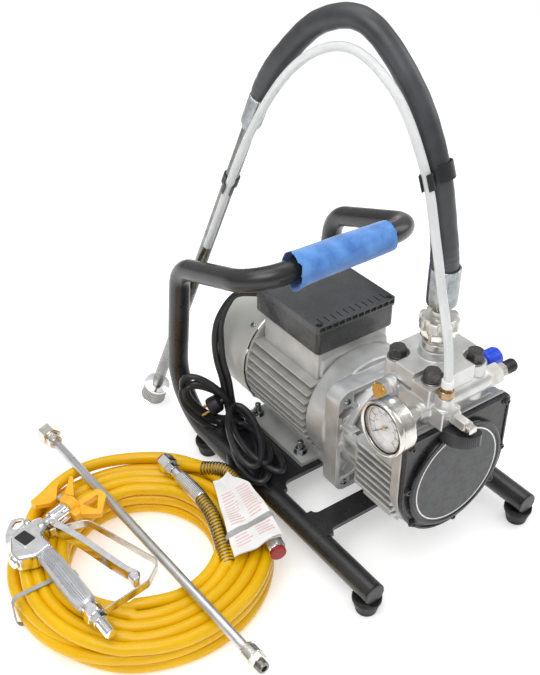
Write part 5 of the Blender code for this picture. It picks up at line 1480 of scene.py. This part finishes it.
def build_hose():
    path = coil_path()
    add("paint_hose_coil", sweep(path, HOSE_R, 28), YELLOW, HOSE, replaces=["paint_hose"], angle=60)
    build_hose_end_a()
    build_hose_end_b()
    build_tag()
    away = Vector((-1, 0.02, 0)).normalized()
    at = COIL_CENTRE + away * 0.1236 + Vector((0, 0, 0.0236))
    outline = rounded_rectangle(0.0392, 0.0232, 0.01, steps=8)
    add("coil_tie", flat_band(at, (away.y, -away.x, 0), outline, 0.003, 0.001), TIE_GREY, HOSE, bevel=0.0002)


def flat_band(centre, along, outline, half_width, thickness):
    """A strap bent round an outline that stands square to a direction."""
    along = Vector(along).normalized()
    out = Vector((along.y, -along.x, 0))
    wide = along * half_width
    rings = []
    count = len(outline)
    for i, (a, z) in enumerate(outline):
        before, after = outline[i - 1], outline[(i + 1) % count]
        normal = Vector((after[1] - before[1], 0, -(after[0] - before[0]))).normalized()
        base = centre + out * a + Vector((0, 0, z))
        lift = (out * normal.x + Vector((0, 0, normal.z))) * thickness
        rings.append([base - wide, base + wide, base + wide + lift, base - wide + lift])
    return loft(rings, closed=True)


def spring(path, radius, pitch, wire):
    """Wire wound round a path."""
    points = []
    length = 0.0
    side = None
    path = [Vector(p) for p in path]
    for a, b in zip(path, path[1:]):
        tangent = (b - a).normalized()
        side = tangent.orthogonal() if side is None else side
        side = (side - tangent * side.dot(tangent)).normalized()
        other = tangent.cross(side)
        steps = max(2, int((b - a).length / pitch * 14))
        for step in range(steps):
            along = (b - a).length * step / steps
            angle = 2 * math.pi * (length + along) / pitch
            points.append(a + tangent * along + (side * math.cos(angle) + other * math.sin(angle)) * radius)
        length += (b - a).length
    return sweep(points, wire, 8)


def build_hose_end_a():
    """The end beside the lance: bare hose, open spring guard, fluted sleeve, nut and dust cap."""
    curve = [coil_point(0.93, 0.101, 0.032), (-0.24, 0.13, 0.04), (-0.231, 0.156, 0.046),
             (-0.219, 0.195, 0.054), (-0.2135, 0.232, 0.0555)]
    start, away = Vector((-0.2131, 0.23, 0.0555)), Vector((-0.04, 1, 0.02)).normalized()
    path = smooth_path(curve, 10)
    add("hose_end_a_tail", sweep(path, HOSE_R * 0.9, 28), YELLOW, HOSE, angle=60)
    guard = smooth_path(curve[1:], 12)
    add("hose_end_a_spring", spring(guard, 0.0084, 0.0046, 0.0009), DARK_PLATED, HOSE, angle=60)
    build_sleeve_and_nut("hose_end_a", start, away, 0.06, 0.028, 0.0102)
    cap = [(0, 0.006), (0.0006, 0.0088), (0.001, 0.0096), (0.0022, 0.0096), (0.0028, 0.009), (0.003, 0.007)]
    add("hose_end_a_cap", turned(start + away * 0.0872, away, cap, 40), RED_CAP, HOSE, angle=28)


def build_sleeve_and_nut(name, start, away, sleeve_length, nut_length, half_flats):
    """Crimped sleeve with fine lengthwise flutes, then a two-part hexagon nut."""
    flutes = 26
    levels = [(0, 0.0086, 0), (0.001, 0.0092, 0), (0.003, 0.0093, 1), (sleeve_length - 0.015, 0.0093, 1),
              (sleeve_length - 0.013, 0.0092, 0), (sleeve_length - 0.0118, 0.0086, 0),
              (sleeve_length - 0.011, 0.0074, 0), (sleeve_length, 0.0072, 0)]

    def fluted(number, angle):
        radius, depth = levels[number][1:]
        return radius - depth * 0.0005 * (0.5 + 0.5 * math.cos(angle * flutes))

    sleeve = around_axis(start, away, [level[0] for level in levels], fluted, flutes * 8)
    add(f"{name}_sleeve", sleeve, CHROME, HOSE, angle=40)
    at = start + away * (sleeve_length + 0.0005)
    back = hex_head(at, away, half_flats * 0.86, nut_length * 0.4, turn=0.3)
    add(f"{name}_nut_back", back, CHROME, HOSE, angle=26)
    nut = hex_head(at + away * nut_length * 0.38, away, half_flats, nut_length * 0.58, turn=0.5)
    add(f"{name}_nut", nut, CHROME, HOSE, angle=26)


def build_hose_end_b():
    """The other end, under the paper tag, with a red dust cap in its nut."""
    curve = [coil_point(0.14, 0.156, 0.033), (-0.196, 0.318, 0.038), (-0.176, 0.29, 0.043),
             (-0.16, 0.255, 0.054), (-0.164, 0.2, 0.0545)]
    start, away = Vector((-0.164, 0.203, 0.0545)), Vector((-0.24, -1, 0)).normalized()
    add("hose_end_b_tail", sweep(smooth_path(curve, 10), HOSE_R * 0.9, 28), YELLOW, HOSE, angle=60)
    add("hose_end_b_spring", spring(smooth_path(curve[2:], 12), 0.0084, 0.0046, 0.0009), DARK_PLATED, HOSE,
        angle=60)
    build_sleeve_and_nut("hose_end_b", start, away, 0.072, 0.029, 0.0102)
    cap = [(0, 0.006), (0.0008, 0.0088), (0.0012, 0.0098), (0.0046, 0.0098), (0.0052, 0.009), (0.0054, 0.007)]
    add("hose_end_b_cap", turned(start + away * 0.1, away, cap, 40), RED_CAP, HOSE, angle=28)


def tag_height(x, y):
    """The tag drapes over the hose end below it."""
    start, away = Vector((-0.164, 0.203)), Vector((-0.24, -1)).normalized()
    offset = Vector((x, y)) - start
    across = offset.x * away.y - offset.y * away.x
    crown = 0.0665 - 0.006 * min(1.0, (across / 0.022) ** 2) - 4.0 * max(0.0, abs(across) - 0.022) ** 2
    ripple = 0.0012 * math.sin(x * 160 + y * 60) + 0.001 * math.sin(y * 120)
    return crown + ripple


def tag_curl(across):
    """How far the tag's free edge lifts, from none at its left side to most at its right."""
    return 0.004 * across**4


def build_tag():
    """Folded paper tag, two leaves, with faint generic lines of print and a paper strap round it."""
    for leaf, lift in (("lower", 0.0), ("upper", TAG_LEAF_GAP)):
        add(f"paper_tag_{leaf}", tag_sheet(lift, 0.00035), PAPER, HOSE, angle=60)
    lines = bmesh.new()
    random.seed(5)
    for row in range(19):
        if row in (12, 13):
            continue
        for side in (0, 1):
            start = 0.12 + 0.46 * side
            length = 0.36 * random.uniform(0.75, 1.0)
            add_tag_line(lines, 0.24 + 0.036 * row, start, start + length)
    add("tag_print", lines, PAPER_LINES, HOSE)
    rings = []
    for step in range(25):
        share = -0.06 + 1.12 * step / 24
        across = min(1.0, max(0.0, share))
        beyond = share - across
        ring = []
        for down, rise in ((0.7, 0.0021), (0.755, 0.0021), (0.755, 0.0026), (0.7, 0.0026)):
            p = tag_place(down, across) + Vector((0.06, -0.01)) * beyond
            ring.append((p.x, p.y, tag_height(p.x, p.y) + rise + tag_curl(across) - 0.1 * abs(beyond)))
        rings.append(ring)
    add("tag_strap", loft(rings), TIE_GREY, HOSE, angle=60)


def tag_place(down, across):
    """Tag plane coordinates, 0 to 1 down its length and across its width."""
    top_left, top_right = Vector((-0.188, 0.244)), Vector((-0.168, 0.24))
    low_left, low_right = Vector((-0.236, 0.123)), Vector((-0.188, 0.112))
    left = top_left.lerp(low_left, down)
    shoulder = 0.0125 * min(1.0, max(0.0, (down - 0.1) / 0.16))
    right = top_right.lerp(low_right, down) + Vector((shoulder + 0.004 * math.sin(math.pi * down), 0.0))
    return left.lerp(right, across)


def tag_sheet(lift, thickness):
    down_steps, across_steps = 44, 22
    sheet = bmesh.new()
    layers = []
    for offset in (0.0, thickness):
        grid = []
        for j in range(down_steps + 1):
            row = []
            for i in range(across_steps + 1):
                p = tag_place(j / down_steps, i / across_steps)
                curl = tag_curl(i / across_steps) * lift / TAG_LEAF_GAP
                row.append(sheet.verts.new((p.x, p.y, tag_height(p.x, p.y) + lift + offset + curl)))
            grid.append(row)
        layers.append(grid)
    for grid in layers:
        for first, second in zip(grid, grid[1:]):
            for i in range(across_steps):
                sheet.faces.new((first[i], first[i + 1], second[i + 1], second[i]))
    low, high = layers
    rim = [(0, i) for i in range(across_steps)] + [(j, across_steps) for j in range(down_steps)]
    rim += [(down_steps, i) for i in range(across_steps, 0, -1)] + [(j, 0) for j in range(down_steps, 0, -1)]
    for (j, i), (k, m) in zip(rim, rim[1:] + rim[:1]):
        sheet.faces.new((low[j][i], low[k][m], high[k][m], high[j][i]))
    return sheet


def add_tag_line(lines, down, start, end):
    """One line of print as a row of thin flat tiles lying on the upper leaf."""
    rows = []
    steps = 8
    above_leaf = TAG_LEAF_GAP + 0.0004
    for edge in (0.0, 0.012):
        row = []
        for step in range(steps + 1):
            share = start + (end - start) * step / steps
            p = tag_place(down + edge, share)
            row.append(Vector((p.x, p.y, tag_height(p.x, p.y) + above_leaf + tag_curl(share))))
        rows.append(row)
    for k in range(steps):
        corners = [rows[0][k], rows[0][k + 1], rows[1][k + 1], rows[1][k]]
        bridge_rings(lines,
                     [[lines.verts.new(p + Vector((0, 0, lift))) for p in corners] for lift in (0, 0.00008)])


# ---------------------------------------------------------------- spray gun and lance
GUN_BODY = Vector((-0.418, 0.273, 0))
GUN_FORWARD = Vector((0.955, 0.297, 0)).normalized()
GUN_DOWN = Vector((0.1, -0.995, 0)).normalized()
TIP_AXIS_DOWN = -0.0138  # the spray tip's axis, measured along GUN_DOWN


def gun_point(forward, down, rise=0.0):
    return GUN_BODY + GUN_FORWARD * forward + GUN_DOWN * down + Vector((0, 0, GUN_Z + rise))


def gun_prism(outline, low, high):
    """Extrudes an outline drawn in the gun's own plane."""
    return loft([[gun_point(forward, down, level) for forward, down in outline] for level in (low, high)])


def soft_outline(corners, radius, steps=5):
    """A flat outline with each corner rounded off."""
    result = []
    count = len(corners)
    for i, corner in enumerate(corners):
        c = Vector(corner)
        before = (Vector(corners[i - 1]) - c).normalized()
        after = (Vector(corners[(i + 1) % count]) - c).normalized()
        start, end = c + before * radius, c + after * radius
        for step in range(steps + 1):
            t = step / steps
            result.append(tuple(start * (1 - t) ** 2 + c * 2 * t * (1 - t) + end * t**2))
    return result


def flat_bar(path, half_width, half_thickness):
    """A strap along a path in the gun's own plane, square to that plane."""
    rings = []
    rise = Vector((0, 0, half_width))
    for i, point in enumerate(path):
        ahead, behind = path[min(i + 1, len(path) - 1)], path[max(i - 1, 0)]
        side = (ahead - behind).normalized().cross(Vector(UP)).normalized() * half_thickness
        rings.append([point + a for a in (side + rise, -side + rise, -side - rise, side - rise)])
    return loft(rings)


def build_gun():
    outline = soft_outline([(-0.018, -0.026), (0.01, -0.027), (0.028, -0.022), (0.028, -0.005),
                            (0.013, 0.001), (0.014, 0.024), (-0.008, 0.024), (-0.029, 0.01), (-0.03, -0.005)],
                           0.004)
    add("gun_head", gun_prism(outline, -0.0112, 0.0112), CHROME, "gun", replaces=["gun_body"], bevel=0.003)
    rim = soft_outline([(-0.0185, -0.021), (0.001, -0.0202), (0.006, 0.0042), (-0.014, 0.0042)], 0.003)
    add("gun_badge_rim", gun_prism(rim, 0.01, 0.012), CHROME, "gun", bevel=0.0006)
    badge = soft_outline([(-0.016, -0.0186), (0.0, -0.018), (0.004, 0.0022), (-0.0118, 0.002)], 0.0022)
    add("gun_badge", gun_prism(badge, 0.0116, 0.0128), BLACK_PLASTIC, "gun", bevel=0.0005)
    add("gun_neck",
        turned(gun_point(0.024, -0.014), GUN_FORWARD, [(0, 0.009), (0.01, 0.0088), (0.013, 0.008)], 48),
        CHROME, "gun", angle=26)
    cap = [(0, 0.008), (0.003, 0.0086), (0.006, 0.0082), (0.0075, 0.0064)]
    add("gun_needle_cap", turned(gun_point(-0.026, 0.002), -GUN_FORWARD, cap, 40), CHROME, "gun", angle=26)
    for number, (f, d) in enumerate(((0.0098, -0.027), (0.02, -0.01))):
        cross_screw(f"gun_screw_{number + 1}", gun_point(f, d, 0.0106), UP, 0.0046, 0.0026, NICKEL, "gun")
    build_gun_handle()
    build_gun_hook()
    build_gun_guard()
    build_trigger()
    build_tip()


def build_gun_handle():
    """Barrel-shaped fluted alloy grip with a chrome swivel nut and an open thread."""
    start, end = gun_point(0.0045, 0.02), gun_point(-0.0028, 0.167)
    axis = (end - start).normalized()
    flutes = 28
    levels = [(0, 0.0092, 0), (0.003, 0.0104, 0), (0.005, 0.0112, 1), (0.025, 0.012, 1), (0.055, 0.0125, 1),
              (0.082, 0.0123, 1), (0.095, 0.0114, 1), (0.098, 0.0108, 0), (0.101, 0.01, 0)]

    def fluted(number, angle):
        radius, depth = levels[number][1:]
        return radius - max(0.0, math.cos(angle * flutes)) * 0.0012 * depth

    grip = around_axis(start, axis, [level[0] for level in levels], fluted, flutes * 6)
    add("gun_grip", grip, RIBBED_ALLOY, "gun", angle=50)
    swivel = joined([turned(start + axis * 0.1005, axis,
                            [(0, 0.0086), (0.0006, 0.0094), (0.007, 0.0094), (0.008, 0.0084)], 48),
                     hex_head(start + axis * 0.1082, axis, 0.0108, 0.011, turn=0.3),
                     hex_head(start + axis * 0.119, axis, 0.0088, 0.0086, turn=0.5),
                     thread(start + axis * 0.1274, axis, 0.0065, 0.0196, 0.0018)])
    add("gun_swivel", swivel, CHROME, "gun", angle=26)


def build_gun_hook():
    """Flat hanging plate with a three-sided hole above the head."""
    plate = soft_outline([(-0.026, -0.024), (-0.018, -0.0375), (-0.001, -0.0505), (0.0118, -0.043),
                          (0.013, -0.031), (0.01, -0.023)], 0.004)
    hole = gun_prism(soft_outline([(-0.007, -0.04), (0.0014, -0.0438), (0.009, -0.039), (0.0098, -0.0345),
                                   (-0.002, -0.032), (-0.0076, -0.036)], 0.002), -0.01, 0.02)
    add("gun_hook_plate", gun_prism(plate, 0.002, 0.0058), CHROME, "gun", cuts=[hole], bevel=0.0007)


def build_gun_guard():
    corners = [gun_point(0.026, 0.0), gun_point(0.046, 0.009), gun_point(0.07, 0.023),
               gun_point(0.0965, 0.138), gun_point(0.07, 0.149), gun_point(0.006, 0.138)]
    path = rounded_path(corners, [0.01, 0.016, 0.012, 0.014], 8)
    fine = []
    for a, b in zip(path, path[1:]):
        fine += [a.lerp(b, k / 3) for k in range(3)]
    fine.append(path[-1])
    add("gun_guard", flat_bar(fine, 0.0055, 0.0009), STEEL, "gun", bevel=0.0004)


def build_trigger():
    """Pressed channel whose two flanges stand towards the grip, with a rounded spoon at the foot."""
    corners = [gun_point(0.03, -0.007), gun_point(0.036, 0.012), gun_point(0.044, 0.045),
               gun_point(0.052, 0.09), gun_point(0.058, 0.118), gun_point(0.064, 0.132)]
    path = smooth_path(corners, 10)
    rings = []
    count = len(path)
    for i, point in enumerate(path):
        share = i / (count - 1)
        ahead, behind = path[min(i + 1, count - 1)], path[max(i - 1, 0)]
        side = (ahead - behind).normalized().cross(Vector(UP)).normalized()
        half = 0.0082 * (1 - 0.1 * share)
        depth = 0.009 * (1 - 0.45 * share)
        section = [(-0.0009, half), (depth, half), (depth, half - 0.0013), (0.0008, half - 0.002),
                   (0.0008, -half + 0.002), (depth, -half + 0.0013), (depth, -half), (-0.0009, -half)]
        rings.append([point + side * -a + Vector((0, 0, z)) for a, z in section])
    add("trigger_channel", loft(rings), CHROME, "gun_trigger", replaces=["gun_trigger"], bevel=0.0005,
        angle=50)
    pin = [(0, 0.0032), (0.0003, 0.0035), (0.0233, 0.0035), (0.0236, 0.003)]
    add("trigger_pin", turned(gun_point(0.0325, -0.0045, -0.0118), UP, pin, 32), STEEL, "gun", angle=28)
    spoon = soft_outline([(0.056, 0.124), (0.064, 0.124), (0.07, 0.133), (0.064, 0.14), (0.056, 0.138)],
                         0.003)
    add("trigger_spoon", gun_prism(spoon, -0.0072, 0.0072), CHROME, "gun_trigger", bevel=0.0024)


def build_tip():
    """Chrome nut, orange collar with a looped wing and a straight fin, and the flag of the turning tip."""
    nut = [(0, 0.0092), (0.0008, 0.0104), (0.003, 0.0112), (0.023, 0.0112), (0.025, 0.0104), (0.0262, 0.0096)]
    flutes = []
    for number in range(10):
        angle = 2 * math.pi * number / 10
        out = Vector(UP) * math.sin(angle) + Vector((-GUN_FORWARD.y, GUN_FORWARD.x, 0)) * math.cos(angle)
        base = gun_point(0.04, TIP_AXIS_DOWN) + out * 0.0126
        flutes.append(cylinder(base, base + GUN_FORWARD * 0.0165, 0.0024, 16))
    add("tip_nut", turned(gun_point(0.0358, TIP_AXIS_DOWN), GUN_FORWARD, nut, 72), CHROME, "tip_guard",
        replaces=["tip_guard"], cuts=flutes, angle=28)
    collar = [(0, 0.012), (0.0008, 0.0128), (0.003, 0.0128), (0.004, 0.0118), (0.009, 0.0116), (0.01, 0.0128),
              (0.0124, 0.0128), (0.0132, 0.0118), (0.0132, 0.007), (0.011, 0.006)]
    add("tip_collar", turned(gun_point(0.0612, TIP_AXIS_DOWN), GUN_FORWARD, collar, 64), ORANGE, "tip_guard",
        angle=28)
    side_plate = soft_outline([(0.062, -0.032), (0.075, -0.033), (0.072, 0.008), (0.061, 0.007)], 0.003)
    add("tip_saddle", gun_prism(side_plate, -0.005, 0.005), ORANGE, "tip_guard", bevel=0.0012)
    loop = soft_outline([(0.07, -0.0115), (0.11, -0.0085), (0.113, 0.008), (0.089, 0.029), (0.069, 0.0085)],
                        0.004)
    hole = gun_prism(soft_outline([(0.08, -0.003), (0.105, 0.0), (0.089, 0.019)], 0.0016), -0.02, 0.02)
    add("tip_wing_1", gun_prism(loop, -0.0035, 0.0035), ORANGE, "tip_guard", cuts=[hole], bevel=0.0009)
    fin = soft_outline([(0.072, -0.032), (0.0945, -0.051), (0.0972, -0.047), (0.079, -0.02)], 0.0012)
    add("tip_wing_2", gun_prism(fin, -0.006, 0.006), ORANGE, "tip_guard", bevel=0.0008)
    barrel = [(0, 0.0046), (0.016, 0.0046), (0.0165, 0.0056), (0.021, 0.0056), (0.0215, 0.0046)]
    add("tip_barrel", turned(gun_point(0.066, -0.015), -GUN_DOWN, barrel, 40), NICKEL, "tip_guard", angle=28)
    flag = soft_outline([(0.0335, -0.0585), (0.0545, -0.061), (0.078, -0.0545), (0.072, -0.05),
                         (0.061, -0.036), (0.0514, -0.036), (0.0345, -0.048)], 0.0018)
    add("tip_handle", gun_prism(flag, -0.0032, 0.0032), ORANGE, "tip_guard", bevel=0.0008)


def build_lance():
    """Long rod with a hollow hexagon nut at the far end and a threaded coupling at the near one."""
    far, near = Vector((-0.3138, 0.469, 0.0498)), Vector((-0.2951, -0.0232, 0.058))
    axis = (near - far).normalized()
    end = (near - far).length
    corner = 0.0125 / math.cos(math.pi / 6)
    nut = [(0.012, 0.0066), (0.001, 0.007), (0, 0.008), (0, 0.0118, 6, 0.012),
           (0.0008, 0.0125, 6, corner * 0.96), (0.0018, 0.0125, 6, corner), (0.0172, 0.0125, 6, corner),
           (0.0182, 0.0125, 6, corner * 0.96), (0.019, 0.0118, 6, 0.012), (0.0192, 0.0092), (0.0198, 0.0096),
           (0.0295, 0.0096), (0.0302, 0.0088)]
    add("lance_nut", turned(far, axis, nut, 96, 0.3), NICKEL, "lance", replaces=["extension_lance"], angle=24)
    rod = [(0, 0.0056), (0.0005, 0.0058), (end - 0.064, 0.0058), (end - 0.0635, 0.0056)]
    add("lance_rod", turned(far + axis * 0.0296, axis, rod, 64), SATIN_ROD, "lance", angle=28)
    collar = [(0, 0.0062), (0.0016, 0.009), (0.0026, 0.0098), (0.004, 0.0098), (0.0046, 0.0092),
              (0.0056, 0.0092), (0.0062, 0.0104), (0.0072, 0.011), (0.018, 0.0112), (0.0192, 0.0104),
              (0.0192, 0.007)]
    add("lance_collar", turned(far + axis * (end - 0.0365), axis, collar, 64), NICKEL, "lance", angle=26)
    add("lance_hexagon", hex_head(far + axis * (end - 0.0176), axis, 0.0098, 0.0078, turn=0.25), NICKEL,
        "lance", angle=20)
    mouth = [(0, 0.0062), (0.0006, 0.007), (0.0066, 0.007), (0.0078, 0.0064), (0.0078, 0.0038),
             (0.003, 0.0034)]
    add("lance_mouth", turned(far + axis * (end - 0.01), axis, mouth, 48), DARK_PLATED, "lance", angle=26)


# ---------------------------------------------------------------- floor, light and camera
def build_floor():
    shape = bmesh.new()
    bmesh.ops.create_grid(shape, x_segments=4, y_segments=4, size=6)
    mesh = bpy.data.meshes.new("studio_floor")
    shape.to_mesh(mesh)
    shape.free()
    floor = bpy.data.objects.new("studio_floor", mesh)
    bpy.context.scene.collection.objects.link(floor)
    paper = make_material("studio_paper", (0.88, 0.88, 0.88), 0.75)
    feed(paper, "Base Color", ramp(paper, noise_field(paper, 3), (0.86, 0.86, 0.86), (0.89, 0.89, 0.89)))
    setting(paper, Emission_Color=(1, 1, 1, 1), Emission_Strength=0.32)
    mesh.materials.append(paper)


def area_light(name, place, size, power):
    """A rectangular lamp aimed at the middle of the machine and its hose."""
    light = bpy.data.lights.new(name, "AREA")
    light.shape = "RECTANGLE"
    light.size, light.size_y = size
    light.energy = power
    lamp = bpy.data.objects.new(name, light)
    bpy.context.scene.collection.objects.link(lamp)
    lamp.location = Vector(place) + SHIFT
    aim = Vector((-0.15, 0.15, 0.15)) - Vector(place)
    lamp.rotation_euler = aim.to_track_quat("-Z", "Y").to_euler()


def build_light():
    """A sky that is dark at the horizon and light overhead, and three large soft lamps."""
    world = bpy.context.scene.world or bpy.data.worlds.new("studio")
    bpy.context.scene.world = world
    world.use_nodes = True
    nodes, links = world.node_tree.nodes, world.node_tree.links
    background = nodes["Background"]
    background.inputs["Strength"].default_value = 1.0
    where = nodes.new("ShaderNodeTexCoord")
    split = nodes.new("ShaderNodeSeparateXYZ")
    shade = nodes.new("ShaderNodeMapRange")
    for label, value in (("From Min", 0.0), ("From Max", 0.9), ("To Min", 0.28), ("To Max", 0.85)):
        shade.inputs[label].default_value = value
    links.new(where.outputs["Generated"], split.inputs["Vector"])
    links.new(split.outputs["Z"], shade.inputs["Value"])
    links.new(shade.outputs["Result"], background.inputs["Color"])
    area_light("key_light", (-1.1, -0.5, 1.9), (1.5, 1.1), 17)
    area_light("right_light", (1.5, -0.3, 1.2), (0.9, 1.3), 8)
    area_light("top_light", (-0.1, 0.6, 2.2), (1.9, 1.2), 12)


CAMERA_PLACE = Vector((-0.6562, -0.54, 0.9054))
CAMERA_FORWARD = Vector((0.47754, 0.67198, -0.56604))
CAMERA_UP = Vector((0.32943, 0.46031, 0.82438))


def build_camera():
    camera = bpy.data.cameras.new("camera")
    camera.lens = 51.92
    camera.sensor_width = 36
    camera.clip_start = 0.01
    holder = bpy.data.objects.new("camera", camera)
    bpy.context.scene.collection.objects.link(holder)
    holder.location = CAMERA_PLACE + SHIFT
    sideways = CAMERA_FORWARD.cross(CAMERA_UP)
    holder.rotation_euler = Matrix((sideways, CAMERA_UP, -CAMERA_FORWARD)).transposed().to_euler()
    bpy.context.scene.camera = holder


def build_all():
    build_frame()
    build_sleeve()
    build_motor()
    build_adapter()
    build_pump()
    build_head()
    build_suction()
    build_cable()
    build_hose()
    build_gun()
    build_lance()
    build_floor()
    build_light()
    build_camera()


build_all()
bpy.context.scene.view_settings.view_transform = "Standard"
